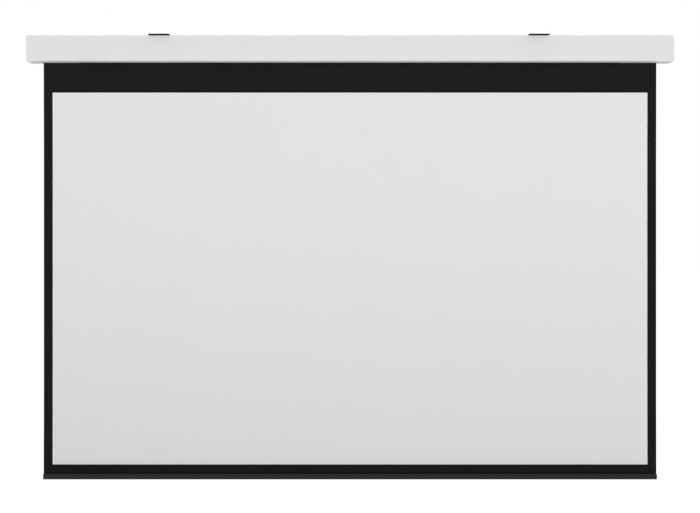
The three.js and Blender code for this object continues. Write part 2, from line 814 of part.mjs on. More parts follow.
// Control box: a plastic tray on the case's rear wall, with the receiver board inside
const boxStart = 20;
const boxLength = 110;
const boxDepth = 16;
const boxBottom = 30;
const boxHeight = 40;
const boxWall = 2;
const boardThickness = 1.6;
const boardMargin = 1;
const relayShares = [[0.1, 0.3, 0.15, 0.55, 0.7], [0.4, 0.55, 0.2, 0.5, 0.5], [0.65, 0.9, 0.45, 0.85, 0.35]];

const boxX0 = boxStart - sheetHalf;
const boxX1 = boxX0 + boxLength;
const boxRear = caseDepth - caseWall - seatGap;
const boxFront = boxRear - boxDepth;

function controlBox() {
  return cutAway(
    block(boxX0, boxX1, boxFront, boxRear, boxBottom, boxBottom + boxHeight),
    block(boxX0 + boxWall, boxX1 - boxWall, boxFront + boxWall, boxRear + overrun,
      boxBottom + boxWall, boxBottom + boxHeight - boxWall),
  );
}

// The board lies on the tray's floor, with its relays and terminals standing on it.
function receiverBoard() {
  const margin = boxWall + boardMargin;
  const [x0, z0] = [boxX0 + margin, boxBottom + margin];
  const [width, height] = [boxLength - 2 * margin, boxHeight - 2 * margin];
  const face = boxFront + boxWall + seatGap;
  const room = boxDepth - boxWall - seatGap - boardThickness;
  const parts = relayShares.map(([a0, a1, b0, b1, tall]) => block(
    x0 + a0 * width, x0 + a1 * width, face + boardThickness / 2, face + boardThickness + tall * room,
    z0 + b0 * height, z0 + b1 * height));
  return joined(block(x0, x0 + width, face, face + boardThickness, z0, z0 + height), ...parts);
}

// A lead between two points, leaving the first one along one way and meeting the second along X.
function lead(radius, start, way, end, bend) {
  const path = new THREE.CubicBezierCurve3(
    start, start.clone().addScaledVector(way, bend), end.clone().setX(end.x - bend), end);
  const section = new THREE.Shape().absarc(0, 0, radius, 0, Math.PI * 2, false);
  return new THREE.ExtrudeGeometry(
    section, { steps: leadSteps, extrudePath: path, curveSegments: leadSides / 2, bevelEnabled: false });
}

// The leads lie inside the case all the way: from the inlet and from the motor head to the box.
const leadBend = 12;
const inletLeadRise = 8;
const motorLeadRiseShare = 0.35;

function inletLead() {
  const start = new THREE.Vector3(inletBodyLength - caseHalf + seatGap, inletY, inletRise);
  const end = new THREE.Vector3(boxX0 - seatGap, (boxFront + boxRear) / 2, boxBottom + inletLeadRise);
  return lead(inletLeadRadius, start, new THREE.Vector3(1, 0, 0), end, leadBend);
}

function motorLead() {
  const start = new THREE.Vector3(leadX, axisBehindFront + headRadius + glandReach + seatGap, axisRise);
  const rise = axisRise + motorLeadRiseShare * (boxBottom + boxHeight - axisRise);
  const end = new THREE.Vector3(boxX0 - seatGap, (boxFront + boxRear) / 2, rise);
  return lead(motorLeadRadius, start, new THREE.Vector3(0, 1, 0), end, leadBend);
}

// Weight bar: an extrusion that the sheet's hem rod hangs in, with a steel ballast bar inside.
// Its front leans out a little towards a ridge, and turns back under it.
const ridgeDropShare = 0.68;
const topHalfShare = 0.85;
const bottomHalfShare = 0.6;
const hemRodRadius = 2.6;
const hemMouth = 2.4;
const hemDrop = 6;
const ballastWidth = 7.4;
const ballastHeight = 3.9;
const ballastFloor = 1.8;
const ballastInset = 8;

const barHalf = sheetHalf + barOverhang;
const barBodyHalf = barHalf - barCapThickness - seatGap;
const hemChamber = hemRodRadius + seatGap;

// Half of the bar's outer section, from its top corner to its bottom corner.
function barSide(side) {
  const half = side * barDepth / 2;
  return [
    [half * topHalfShare, 0],
    [half, -barHeight * ridgeDropShare],
    [half * bottomHalfShare, -barHeight],
  ];
}

function weightBar() {
  const turn = Math.asin(hemMouth / 2 / hemChamber);
  const section = new THREE.Shape();
  section.moveTo(-hemMouth / 2, 0);
  for (const [y, z] of barSide(-1)) section.lineTo(y, z);
  for (const [y, z] of barSide(1).reverse()) section.lineTo(y, z);
  section.lineTo(hemMouth / 2, 0);
  section.absarc(0, -hemDrop, hemChamber, Math.PI / 2 - turn, turn - Math.PI * 1.5, true);
  section.closePath();
  const half = ballastWidth / 2 + seatGap;
  const floor = ballastFloor - barHeight;
  section.holes.push(rectangle(-half, half, floor, floor + ballastHeight + 2 * seatGap));
  return alongX(section, -barBodyHalf, barBodyHalf);
}

function hemRod() {
  return roundBar(hemRodRadius, -barBodyHalf, barBodyHalf, barSides).translate(0, 0, -hemDrop);
}

function ballastRod() {
  const half = ballastWidth / 2;
  const floor = ballastFloor - barHeight + seatGap;
  const end = barBodyHalf - ballastInset;
  return block(-end, end, -half, half, floor, floor + ballastHeight);
}

// A cap closes each end, with a peg in the ballast chamber and a notch for the sheet's edge.
function barCap(side) {
  const section = polygon([...barSide(-1), ...barSide(1).reverse()]);
  const half = ballastWidth / 2;
  const floor = ballastFloor - barHeight + seatGap;
  const inner = barHalf - barCapThickness;
  const cap = cutAway(
    joined(
      alongX(section, inner, barHalf),
      block(barBodyHalf - ballastInset + seatGap, inner + overrun, -half, half, floor, floor + ballastHeight),
    ),
    block(inner - overrun, sheetHalf + seatGap, -hemMouth / 2, hemMouth / 2, hemRodRadius - hemDrop, overrun),
  );
  return side > 0 ? cap : meshed(solid(cap).mirror([1, 0, 0]));
}

// Sheet: it leaves the rear of the roll level with the roller's axis and ends over the hem rod
function screenFabric() {
  const hem = hemDrop - hemRodRadius - seatGap;
  const half = sheetThickness / 2;
  return block(-sheetHalf, sheetHalf, -half, half, -hangBelowCase - hem, axisRise);
}

function pictureSurface() {
  const back = -sheetThickness / 2 - seatGap;
  return block(
    -pictureWidth / 2, pictureWidth / 2, back - pictureThickness, back,
    -dropBorder - pictureHeight, -dropBorder);
}

// Brackets: bent steel plates over the case. The front ear takes a ceiling screw, the rear leg lies
// on the wall with room in front of it for the heads of its screws, and a bolt in the case's track
// clamps each bracket where it is wanted.
const bracketDrop = 60;
const earHole = 7;
const wallSlotLength = 24;
const wallSlotWidth = 7;
const wallSlotDropShares = [0.4, 0.78];
const boltRadius = 3;
const boltHeadLength = 22;
const boltHeadThickness = 4;
const nutAcrossCorners = 11.5;
const nutHeight = 5;
const nutFlangeRadius = 7.5;
const nutFlangeThickness = 1.4;
const boltTip = 1.2;

const plateFloor = caseHeight + seatGap;
const plateTop = plateFloor + bracketThickness;
const legFront = caseDepth + wallScrewRoom;
const legRear = legFront + bracketThickness;
const nutFloor = plateTop + seatGap;

function bracket() {
  const half = bracketWidth / 2;
  const legFloor = plateTop - bracketDrop;
  const section = polygon([
    [-earReach, plateFloor], [legFront, plateFloor], [legFront, legFloor],
    [legRear, legFloor], [legRear, plateTop], [-earReach, plateTop],
  ]);
  const topHole = (radius, y) => upright(
    roundBar(radius, plateFloor - overrun, plateTop + overrun, barSides)).translate(0, y, 0);
  const wallSlots = wallSlotDropShares.map((share) => alongY(
    roundSlot(0, plateTop - share * bracketDrop, wallSlotLength, wallSlotWidth),
    legFront - overrun, legRear + overrun));
  return cutAway(
    alongX(section, -half, half),
    topHole(earHole / 2, -earReach / 2),
    topHole(boltRadius + seatGap, trackBehindFront),
    ...wallSlots,
  );
}

function bracketBolt() {
  const headTop = caseHeight - caseWall - seatGap;
  const headHalf = trackWidth / 2 - seatGap;
  return joined(
    block(-boltHeadLength / 2, boltHeadLength / 2, -headHalf, headHalf, headTop - boltHeadThickness, headTop),
    upright(roundBar(boltRadius, headTop - overrun, nutFloor + nutHeight + boltTip, barSides)),
  ).translate(0, trackBehindFront, 0);
}

function bracketNut() {
  const bore = upright(
    roundBar(boltRadius + seatGap, nutFloor - overrun, nutFloor + nutHeight + overrun, barSides));
  const body = joined(
    upright(roundBar(nutFlangeRadius, nutFloor, nutFloor + nutFlangeThickness, barSides)),
    upright(roundBar(nutAcrossCorners / 2, nutFloor, nutFloor + nutHeight, 6)),
  );
  return cutAway(body, bore).translate(0, trackBehindFront, 0);
}

// The whole screen. Pieces of the case stand in a frame at its lower front edge.
const screen = new THREE.Group();
const casing = group(screen, 0, frontY, -caseHeight);
add(casing, 'case_shell', caseShell(), 'whiteCase');
add(casing, 'badge_plate', badgePlate(), 'whitePlastic');
add(casing, 'access_plate_left', hatch(-1, leftHatchReach), 'whiteCase');
add(casing, 'access_plate_right', hatch(1, rightHatchReach), 'whiteCase');
add(casing, 'end_cap_left', endCap(-1), 'whitePlastic');
add(casing, 'end_cap_right', endCap(1), 'whitePlastic');
add(casing, 'motor_plate', motorPlate(), 'zinc');
add(casing, 'idler_plate', idlerPlate(), 'zinc');
add(casing, 'head_cotter_pin', headCotterPin(), 'steel');
add(casing, 'power_inlet', powerInlet(), 'blackPlastic');
add(casing, 'inlet_lead', inletLead(), 'blackPlastic');
add(casing, 'motor_lead', motorLead(), 'blackPlastic');
add(casing, 'control_box', controlBox(), 'greyPlastic');
add(casing, 'receiver_board', receiverBoard(), 'circuitGreen');

// Screws of the caps and hatches
for (const [side, end] of [[-1, 'left'], [1, 'right']]) {
  ports.forEach(([y, z], i) => {
    const screw = countersunkScrew(capScrewLength).rotateZ(side > 0 ? Math.PI : 0);
    add(casing, `cap_screw_${end}_${i + 1}`, screw.translate(side * caseHalf, y, z), 'zinc');
  });
  footScrewYs.forEach((y, i) => {
    const screw = upright(countersunkScrew(caseWall + seatGap + footThickness));
    add(casing, `access_screw_${end}_${i + 1}`, screw.translate(side * footScrewX, y, 0), 'zinc');
  });
}

// Pieces on the roller's axis
const axis = group(casing, 0, axisBehindFront, axisRise);
add(axis, 'roller_tube', rollerTube(), 'aluminium');
add(axis, 'fabric_roll', fabricRoll(), 'blackSheet');
add(axis, 'fabric_spline', fabricSpline(), 'nylon');
add(axis, 'crown_ring', crownRing(), 'nylon');
add(axis, 'drive_wheel', driveWheel(), 'nylon');
add(axis, 'drive_clip', driveClip(), 'steel');
add(axis, 'idler_plug', idlerPlug(), 'nylon');
add(axis, 'idler_pin', idlerPin(), 'steel');
add(axis, 'idler_bearing', idlerBearing(), 'steel');
add(axis, 'motor_head', motorHead(), 'blackPlastic');
add(axis, 'motor_tube', motorTube(), 'zinc');
add(axis, 'limit_switch_block', limitSwitchBlock(), 'blackPlastic');
add(axis, 'capacitor', capacitor(), 'aluminium');
add(axis, 'motor_bell_left', endBell('leftBell'), 'aluminium');
add(axis, 'motor_bell_right', endBell('rightBell'), 'aluminium');
add(axis, 'stator', stator(), 'laminations');
add(axis, 'rotor', rotor(), 'steel');
add(axis, 'ring_gear', ringGear(), 'steel');
planetAngles.forEach((angle, i) => add(axis, `planet_gear_${'abc'[i]}`, planet(angle), 'steel'));
add(axis, 'planet_carrier', planetCarrier(), 'steel');
add(axis, 'output_bush', outputBush(), 'copper');
limitScrewXs.forEach((x, i) => {
  const place = group(axis, x, 0, limitScrewFoot - axisRise);
  add(place, ['limit_screw_up', 'limit_screw_down'][i], limitScrew(), 'nylon');
});

// The sheet and what hangs from it
const sheet = group(casing, 0, sheetBehindFront, 0);
add(sheet, 'screen_fabric', screenFabric(), 'blackSheet');
add(sheet, 'picture_surface', pictureSurface(), 'whitePicture');
const bar = group(sheet, 0, 0, -hangBelowCase);
add(bar, 'weight_bar', weightBar(), 'blackBar');
add(bar, 'hem_rod', hemRod(), 'steel');
add(bar, 'ballast_rod', ballastRod(), 'steel');
add(bar, 'bar_cap_left', barCap(-1), 'blackPlastic');
add(bar, 'bar_cap_right', barCap(1), 'blackPlastic');

// Brackets with their bolts and nuts
for (const [x, end] of [[leftBracketInset - caseHalf, 'left'], [caseHalf - rightBracketInset, 'right']]) {
  const place = group(casing, x, 0, 0);
  add(place, `bracket_${end}`, bracket(), 'blackMetal');
  add(place, `bracket_bolt_${end}`, bracketBolt(), 'zinc');
  add(place, `bracket_nut_${end}`, bracketNut(), 'zinc');
}

export default screen;
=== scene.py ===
"""Dresses the motorized projection screen: a white case, a black sheet with a white picture, and a
weight bar. Metres, in the model's own frame: X along the case, Y towards the wall, Z up."""

import bmesh
import bpy
from contextlib import contextmanager
from itertools import pairwise
from math import asin, cos, pi, radians, sin
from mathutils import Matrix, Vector


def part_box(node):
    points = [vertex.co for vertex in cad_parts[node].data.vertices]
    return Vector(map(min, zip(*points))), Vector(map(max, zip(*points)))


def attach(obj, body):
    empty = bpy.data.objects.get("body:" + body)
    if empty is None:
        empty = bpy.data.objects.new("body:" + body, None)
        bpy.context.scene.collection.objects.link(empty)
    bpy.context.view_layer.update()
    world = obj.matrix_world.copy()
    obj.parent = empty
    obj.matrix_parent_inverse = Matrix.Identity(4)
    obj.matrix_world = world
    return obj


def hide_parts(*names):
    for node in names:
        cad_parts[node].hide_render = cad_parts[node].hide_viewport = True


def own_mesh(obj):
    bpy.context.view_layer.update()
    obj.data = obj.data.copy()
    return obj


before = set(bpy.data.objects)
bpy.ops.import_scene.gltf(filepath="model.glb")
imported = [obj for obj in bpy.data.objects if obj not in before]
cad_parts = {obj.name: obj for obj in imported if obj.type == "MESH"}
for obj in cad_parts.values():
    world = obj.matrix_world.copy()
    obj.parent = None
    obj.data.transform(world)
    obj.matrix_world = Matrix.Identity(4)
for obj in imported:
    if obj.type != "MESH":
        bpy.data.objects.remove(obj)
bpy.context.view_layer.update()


# The camera
# The photograph looks straight at the screen from six metres, level with the middle of its sheet,
# so the case shows a thin strip of its underside.
eye = Vector((0, -6.1235, -0.7359))
focal_length = 93.19
sensor_width = 36
view_reach = 600


def newest(name):
    """The object just made, given its name."""
    made = bpy.context.object
    made.name = name
    return made


bpy.ops.object.camera_add(location=eye, rotation=(pi / 2, 0, 0))
camera = newest("camera")
camera.data.sensor_width = sensor_width
camera.data.lens = focal_length
camera.data.clip_end = view_reach
bpy.context.scene.camera = camera
bpy.context.scene.view_settings.view_transform = "Standard"


# The studio
# A wide pale floor well under the screen, a white surround, and four soft lamps: a long one in front
# of the case, one above, a weak one close to the floor, and one behind that lights the back.
floor_height = -2.4
floor_reach = 400
floor_white = "#F2F2F2"
surround_level = 0.31
floor_glow = 1.1
near_floor, far_floor = 3.0, 5.5
near_glow_share, far_glow_share = 0.6, 0.95
lamps = {
    # name: place, size, aim, power
    "front_lamp": [(2.9, -2.15, -0.1), (13.5, 0.5), (2.9, 0, -0.5), 107],
    "top_lamp": [(0, 0.6, 2.4), (5.0, 1.6), (0, 0.6, 0), 60],
    "low_lamp": [(0.2, -0.11, -2.38), (6.0, 0.15), (0.2, -0.11, 0), 15],
    "back_lamp": [(-1.0, 5.5, 1.5), (5.0, 3.0), (-1.0, 0, -0.5), 105],
}


def linear(colour):
    """A written sRGB colour as linear red, green, blue and alpha."""
    levels = [int(colour[i : i + 2], 16) / 255 for i in (1, 3, 5)]
    return [v / 12.92 if v <= 0.04045 else ((v + 0.055) / 1.055) ** 2.4 for v in levels] + [1]


def connected(node, inputs):
    """Sets a node's inputs, or links them to a socket or to another node's first output."""
    for name, value in inputs.items():
        if isinstance(value, bpy.types.Node):
            value = value.outputs[0]
        if isinstance(value, bpy.types.NodeSocket):
            node.id_data.links.new(value, node.inputs[name])
        else:
            node.inputs[name].default_value = value
    return node


def added(tree, kind, inputs=(), **settings):
    """Adds one node with its settings and inputs."""
    node = tree.nodes.new("ShaderNode" + kind)
    for name, value in settings.items():
        setattr(node, name, value)
    return connected(node, dict(inputs))


def seen_directly(tree):
    """Whether a ray comes from the camera, or from it by way of a gloss or a clear piece."""
    ray = added(tree, "LightPath").outputs
    either = added(tree, "Math", {0: ray["Is Camera Ray"], 1: ray["Is Glossy Ray"]}, operation="MAXIMUM")
    return added(tree, "Math", {0: either, 1: ray["Is Transmission Ray"]}, operation="MAXIMUM")


world = bpy.data.worlds.new("white_surround")
world.use_nodes = True
bpy.context.scene.world = world
tree = world.node_tree
tree.nodes.clear()
white = {"Color": (1, 1, 1, 1)}
light_part = added(tree, "Background", {**white, "Strength": surround_level})
seen_part = added(tree, "Background", {**white, "Strength": 1})
surround = added(tree, "MixShader", {0: seen_directly(tree), 1: light_part, 2: seen_part})
added(tree, "OutputWorld", {"Surface": surround})

# Painted floor: matte, glowing where the camera sees it, white further off and paler than white
# around the screen, where it keeps the screen's shadow. It is clear from underneath.
floor_paint = bpy.data.materials.new("pale_floor_paint")
floor_paint.use_nodes = True
tree = floor_paint.node_tree
tree.nodes.clear()
matte = added(tree, "BsdfDiffuse", {"Color": linear(floor_white)})
glow = added(tree, "Emission", {**white, "Strength": floor_glow})
place = added(tree, "TexCoord").outputs["Object"]
distance = added(tree, "VectorMath", {0: place}, operation="LENGTH").outputs["Value"]
glow_share = added(tree, "MapRange", {
    "Value": distance, "From Min": near_floor, "From Max": far_floor,
    "To Min": near_glow_share, "To Max": far_glow_share}, interpolation_type="SMOOTHSTEP")
glowing = added(tree, "MixShader", {0: glow_share, 1: matte, 2: glow})
by_ray = added(tree, "MixShader", {0: seen_directly(tree), 1: matte, 2: glowing})
from_below = added(tree, "NewGeometry").outputs["Backfacing"]
both = added(tree, "MixShader", {0: from_below, 1: by_ray, 2: added(tree, "BsdfTransparent")})
added(tree, "OutputMaterial", {"Surface": both})

bpy.ops.mesh.primitive_plane_add(size=floor_reach, location=(0, 0, floor_height))
floor = newest("studio_floor")
floor.data.materials.append(floor_paint)

for name, (place, size, aim, power) in lamps.items():
    bpy.ops.object.light_add(type="AREA", location=place)
    lamp = newest(name)
    lamp.data.shape = "RECTANGLE"
    lamp.data.size, lamp.data.size_y = size
    lamp.data.energy = power
    lamp.rotation_euler = (Vector(aim) - Vector(place)).to_track_quat("-Z", "Y").to_euler()
    lamp.visible_camera = False
    lamp.visible_glossy = name != "low_lamp"


# The case
# One aluminium extrusion, 2 mm thick, with a bolt track in its top, screw ports in two corners and
# an open slot underneath. It is cut to length and powder coated white.
case_edge = 0.0004
merge_reach = 0.000002


def alone(*objects):
    """Selects these objects and nothing else, with the last one active."""
    bpy.ops.object.select_all(action="DESELECT")
    for each in objects:
        each.select_set(True)
        bpy.context.view_layer.objects.active = each


@contextmanager
def editing():
    """Edit mode, on the active piece."""
    bpy.ops.object.mode_set(mode="EDIT")
    yield
    bpy.ops.object.mode_set(mode="OBJECT")


def changed(piece, kind, **settings):
    """Adds one modifier to a piece and applies it."""
    alone(piece)
    step = piece.modifiers.new("step", kind)
    for name, value in settings.items():
        setattr(step, name, value)
    bpy.ops.object.modifier_apply(modifier=step.name)
    return piece


def smoothed(piece, angle=32):
    """Smooth shading across shallow edges, with flat faces kept flat."""
    alone(piece)
    bpy.ops.object.shade_smooth_by_angle(angle=radians(angle))
    return changed(piece, "WEIGHTED_NORMAL", keep_sharp=True)


def eased(piece, width, segments=2, angle=40):
    """Rounds every sharp edge of a piece."""
    changed(piece, "BEVEL", width=width, segments=segments, limit_method="ANGLE",
            angle_limit=radians(angle), use_clamp_overlap=True)
    return smoothed(piece)


def linked(name, data):
    """A new object in the scene, alone in the selection."""
    piece = bpy.data.objects.new(name, data)
    bpy.context.scene.collection.objects.link(piece)
    alone(piece)
    return piece


def from_model(name, node, width, segments=2):
    """A merged copy of a model node, with its flat faces made whole and its edges rounded."""
    piece = linked(name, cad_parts[node].data.copy())
    with editing():
        bpy.ops.mesh.select_all(action="SELECT")
        bpy.ops.mesh.remove_doubles(threshold=merge_reach)
        bpy.ops.mesh.dissolve_limited(angle_limit=radians(0.5))
    return eased(piece, width, segments)


def fitted(piece, finish, *nodes, body="case"):
    """Gives a finished piece its material and its body, and hides the model nodes that it stands for."""
    piece.data.name = piece.name
    piece.data.materials.clear()
    piece.data.materials.append(finish)
    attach(piece, body)
    if nodes:
        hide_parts(*nodes)
    return piece


def new_finish(name):
    """A new material, its node tree, and the place on the piece that its patterns follow."""
    finish = bpy.data.materials.new(name)
    finish.use_nodes = True
    return finish, finish.node_tree, added(finish.node_tree, "TexCoord").outputs["Object"]


def wired(finish, tone, light, dark, grain, relief, roughness, **even):
    """Wires a finish: one pattern mixes its two colours, another gives it relief and, between two
    limits, its roughness. What is the same all over goes straight to the shader."""
    tree = finish.node_tree
    colour = added(tree, "Mix", {0: tone, 6: linear(light), 7: linear(dark)}, data_type="RGBA")
    bump = added(tree, "Bump", {"Height": grain, "Strength": 1, "Distance": relief})
    if isinstance(roughness, tuple):
        low, high = roughness
        roughness = added(tree, "MapRange", {"Value": grain, "To Min": low, "To Max": high})
    connected(tree.nodes["Principled BSDF"], {
        "Base Color": colour.outputs[2], "Normal": bump, "Roughness": roughness,
        **{name.replace("_", " "): value for name, value in even.items()}})
    return finish


def powder_coat(name, light, dark, roughness, relief, shine):
    """Baked powder paint, with the soft orange peel that the powder leaves as it flows: waves of
    2.5 mm, over slow changes in the coat of 0.4 m."""
    finish, tree, place = new_finish(name)
    peel = added(tree, "TexNoise", {"Vector": place, "Scale": 1 / 0.0025, "Detail": 2})
    drift = added(tree, "TexNoise", {"Vector": place, "Scale": 1 / 0.4, "Detail": 3})
    both = added(tree, "Math", {0: drift, 1: peel}, operation="ADD")
    tone = added(tree, "Math", {0: both, 1: 0.5}, operation="MULTIPLY")
    return wired(finish, tone, light, dark, peel, relief, (roughness - 0.05, roughness + 0.07),
                 Specular_IOR_Level=shine)


# White polyester powder paint: clean and satin, with a soft orange peel seen from close by.
white_powder_coat = powder_coat("white_powder_coat", "#E4E4E4", "#E0E0E0", 0.5, 0.00006, 0.4)
fitted(from_model("case_extrusion", "case_shell", case_edge), white_powder_coat, "case_shell")


# The badge place
# A blank moulded plate lies flush in a milled recess near the case's left end. It is ABS with a
# fine spark-eroded texture, glued in a little to the left of the middle of its recess.
badge_corner = 0.0008
badge_edge = 0.0006
badge_offset = 0.00035


def started(name, low, high):
    """A box between two corners, as the start of a piece, with its place in its mesh."""
    low, high = Vector(low), Vector(high)
    alone()
    bpy.ops.mesh.primitive_cube_add(size=1, location=(low + high) / 2)
    piece = newest(name)
    piece.scale = high - low
    bpy.ops.object.transform_apply()
    return piece


def pick(piece, kind, test):
    """In edit mode, selects the faces, edges or points whose middle and direction pass a test.
    A face's or point's direction is its normal, and an edge's runs along it."""
    bpy.ops.mesh.select_mode(type=kind)
    bpy.ops.mesh.select_all(action="DESELECT")
    shape = bmesh.from_edit_mesh(piece.data)
    shape.normal_update()
    for part in {"VERT": shape.verts, "EDGE": shape.edges, "FACE": shape.faces}[kind]:
        if kind == "EDGE":
            a, b = (v.co for v in part.verts)
            middle, way = (a + b) / 2, (b - a).normalized()
        else:
            middle, way = part.calc_center_median() if kind == "FACE" else part.co, part.normal
        if test(middle, way):
            part.select_set(True)
    shape.select_flush_mode()
    bmesh.update_edit_mesh(piece.data)


def rounded(piece, radius, segments, test):
    """Rounds the edges that pass a test."""
    alone(piece)
    with editing():
        pick(piece, "EDGE", test)
        bpy.ops.mesh.bevel(offset=radius, segments=segments, clamp_overlap=True)
    return piece


def runs_along(axis):
    """The test for edges that run along an axis."""
    return lambda middle, way: abs(way["XYZ".index(axis)]) > 0.9


def moulded(name, slot, light, dark, roughness, relief, grain=0.0009, **even):
    """Injection-moulded plastic: even colour, and the fine matt texture of the eroded mould, whose
    0.1 mm grain is drawn coarser so that it shows."""
    finish, tree, place = new_finish(name)
    pits = added(tree, "TexNoise", {"Vector": place, "Scale": 1 / grain, "Detail": 3})
    flow = added(tree, "TexNoise", {"Vector": place, "Scale": 1 / 0.05, "Detail": 2})
    return wired(finish, flow, light, dark, pits, relief, (roughness - 0.06, roughness + 0.06),
                 IOR=1.53, **even)


# Moulded ABS in the case's white: a little more matt, with no peel.
white_abs = moulded("white_moulded_abs", "cap_white", "#E3E3E3", "#DFDFDF", 0.55, 0.00002)
badge_low, badge_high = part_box("badge_plate")
badge = started("badge_place", badge_low, badge_high - Vector((badge_offset, 0, 0)))
rounded(badge, badge_corner, 4, runs_along("Y"))
fitted(eased(badge, badge_edge, 3), white_abs, "badge_plate")


# The end plates
# Steel plates, pressed, with a welded foot and boss and zinc plated, stand between the case and its
# caps. The left boss holds the motor by its square stub, and the right one holds a ball bearing.
plate_edge = 0.0003


def middle_of(node):
    """The middle of a model node's box."""
    low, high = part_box(node)
    return (low + high) / 2


def bare_metal(name, light, dark, roughness, marks, relief):
    """Bare or plated metal. The sizes of its marks along X, Y and Z say how it was made, and are
    drawn a few times coarser than the real ones so that they show."""
    finish, tree, place = new_finish(name)
    stretched = added(tree, "Mapping", {"Vector": place, "Scale": [1 / m for m in marks]})
    scratch = added(tree, "TexNoise", {"Vector": stretched, "Scale": 1, "Detail": 3})
    cloud = added(tree, "TexNoise", {"Vector": place, "Scale": 1 / 0.02, "Detail": 3})
    return wired(finish, cloud, light, dark, scratch, relief, (roughness - 0.08, roughness + 0.1),
                 Metallic=1)


def closed_up():
    """In edit mode, merges a piece's doubles and turns its faces outwards."""
    bpy.ops.mesh.select_all(action="SELECT")
    bpy.ops.mesh.remove_doubles(threshold=merge_reach)
    bpy.ops.mesh.normals_make_consistent()


def traced(name, corners):
    """A new piece, left in edit mode, with a line of points through these corners, all selected."""
    alone()
    bpy.ops.mesh.primitive_plane_add(size=0.001)
    piece = newest(name)
    bpy.ops.object.mode_set(mode="EDIT")
    bpy.ops.mesh.select_mode(type="VERT")
    bpy.ops.mesh.select_all(action="SELECT")
    bpy.ops.mesh.merge(type="CENTER")
    bpy.ops.transform.translate(value=corners[0])
    for before, after in pairwise(corners):
        bpy.ops.mesh.extrude_vertices_move(TRANSFORM_OT_translate={"value": after - before})
    bpy.ops.mesh.select_all(action="SELECT")
    return piece


def turned(name, profile, steps=40):
    """A profile of (along, radius) points spun round the X axis, from the axis back to the axis."""
    piece = traced(name, [Vector((along, 0, radius)) for along, radius in profile])
    bpy.ops.mesh.spin(steps=steps, angle=2 * pi, center=(0, 0, 0), axis=(1, 0, 0))
    closed_up()
    bpy.ops.object.mode_set(mode="OBJECT")
    return piece


def rod(name, start, end, radius, steps):
    """A plain round bar along X, to cut or to join with."""
    return turned(name, [(start, 0), (start, radius), (end, radius), (end, 0)], steps)


def same_ends(node, points):
    """A profile over a node's length with both ends alike, from the points of one end: how far in
    each lies, and its radius. One that starts off the axis is closed as a ring."""
    low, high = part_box(node)
    profile = [(low.x + inwards, radius) for inwards, radius in points]
    profile += [(high.x - inwards, radius) for inwards, radius in reversed(points)]
    return profile + profile[:1] if points[0][1] else profile


# Turns a piece that was made along +X so that it points straight up
upright = (0, -pi / 2, 0)


def placed(piece, at, turn=(0, 0, 0)):
    """Turns and moves a piece, and keeps the result in its mesh."""
    alone(piece)
    piece.rotation_euler = turn
    piece.location = at
    bpy.ops.object.transform_apply()
    return piece


roller_y, roller_z = middle_of("idler_bearing").yz
roller_axis = (0, roller_y, roller_z)


def on_axis(name, profile, steps=64):
    """A round piece on the roller's axis."""
    return smoothed(placed(turned(name, profile, steps), roller_axis))


# Bright zinc plate: a cool pale grey with a faint cloud in it. Turned steel: darker, with fine
# rings round the axis.
zinc_plate = bare_metal(
    "zinc_plated_steel", "#C3C6C8", "#A9ADB1", 0.34, (0.002, 0.002, 0.002), 0.000005)
turned_steel = bare_metal(
    "turned_steel", "#A3A5A8", "#8E9093", 0.3, (0.0004, 0.02, 0.02), 0.000005)
for side in ("motor", "idler"):
    fitted(from_model(f"{side}_end_plate", f"{side}_plate", plate_edge), zinc_plate, f"{side}_plate")

# The bearing is an 8 by 22 by 7 mm one, with a steel shield set back between its rings.
bearing = on_axis("shielded_ball_bearing", same_ends("idler_bearing", [
    (0, 0.0043), (0, 0.006), (0.0004, 0.0062), (0.0004, 0.009), (0, 0.0092), (0, 0.0108), (0.0002, 0.011)]))
fitted(bearing, turned_steel, "idler_bearing")


# The tubular motor
# It lies still inside the roller: a moulded head that a cotter pin holds in the end plate, and a
# steel tube with the limit switches, the capacitor, the motor and one planetary gear stage.
motor_radius = 0.0157
gear_edge = 0.00005


def extruded(by):
    """In edit mode, draws out what is selected."""
    bpy.ops.mesh.extrude_region_move(TRANSFORM_OT_translate={"value": by})


def drawn_out(name, outline, way, start, end):
    """An outline drawn point by point across X or Y, and drawn out along it."""
    if way == "X":
        corners, reach = [Vector((start, a, b)) for a, b in outline], (end - start, 0, 0)
    else:
        corners, reach = [Vector((a, start, b)) for a, b in outline], (0, end - start, 0)
    piece = traced(name, corners)
    bpy.ops.mesh.edge_face_add()
    extruded(reach)
    closed_up()
    bpy.ops.object.mode_set(mode="OBJECT")
    return piece


def remove(*spares):
    """Takes away objects that have done their work."""
    for spare in spares:
        bpy.data.objects.remove(spare)


def combined(piece, kind, *others):
    """Works other shapes into a piece by one kind of boolean, and takes them away."""
    for other in others:
        changed(piece, "BOOLEAN", operation=kind, solver="EXACT", object=other)
    remove(*others)
    return piece


def cut(piece, *cutters):
    """Cuts other shapes out of a piece."""
    return combined(piece, "DIFFERENCE", *cutters)


def copied(piece, name):
    """A copy with its own mesh."""
    return linked(name, piece.data.copy())


def joined(name, pieces):
    """Several like pieces as one."""
    alone(*pieces)
    bpy.ops.object.join()
    return smoothed(newest(name))


# Glass-filled nylon: near black and matt, where the fibres lie close under the skin.
black_nylon = moulded("black_glass_filled_nylon", "black_plastic", "#222224", "#1C1C1E", 0.5, 0.00002)
fitted(from_model("motor_head_moulding", "motor_head", 0.0004), black_nylon, "motor_head")

# A round-headed cotter pin goes through the end plate's boss and the head's square stub.
cotter = turned("cotter_pin", [
    (-0.015, 0), (-0.015, 0.0007), (-0.0143, 0.0012), (0.015, 0.0012), (0.015, 0.0026),
    (0.0158, 0.0026), (0.0166, 0.0019), (0.017, 0)], 32)
placed(cotter, (middle_of("head_cotter_pin").x, roller_y, roller_z), upright)
fitted(smoothed(cotter), turned_steel, "head_cotter_pin")

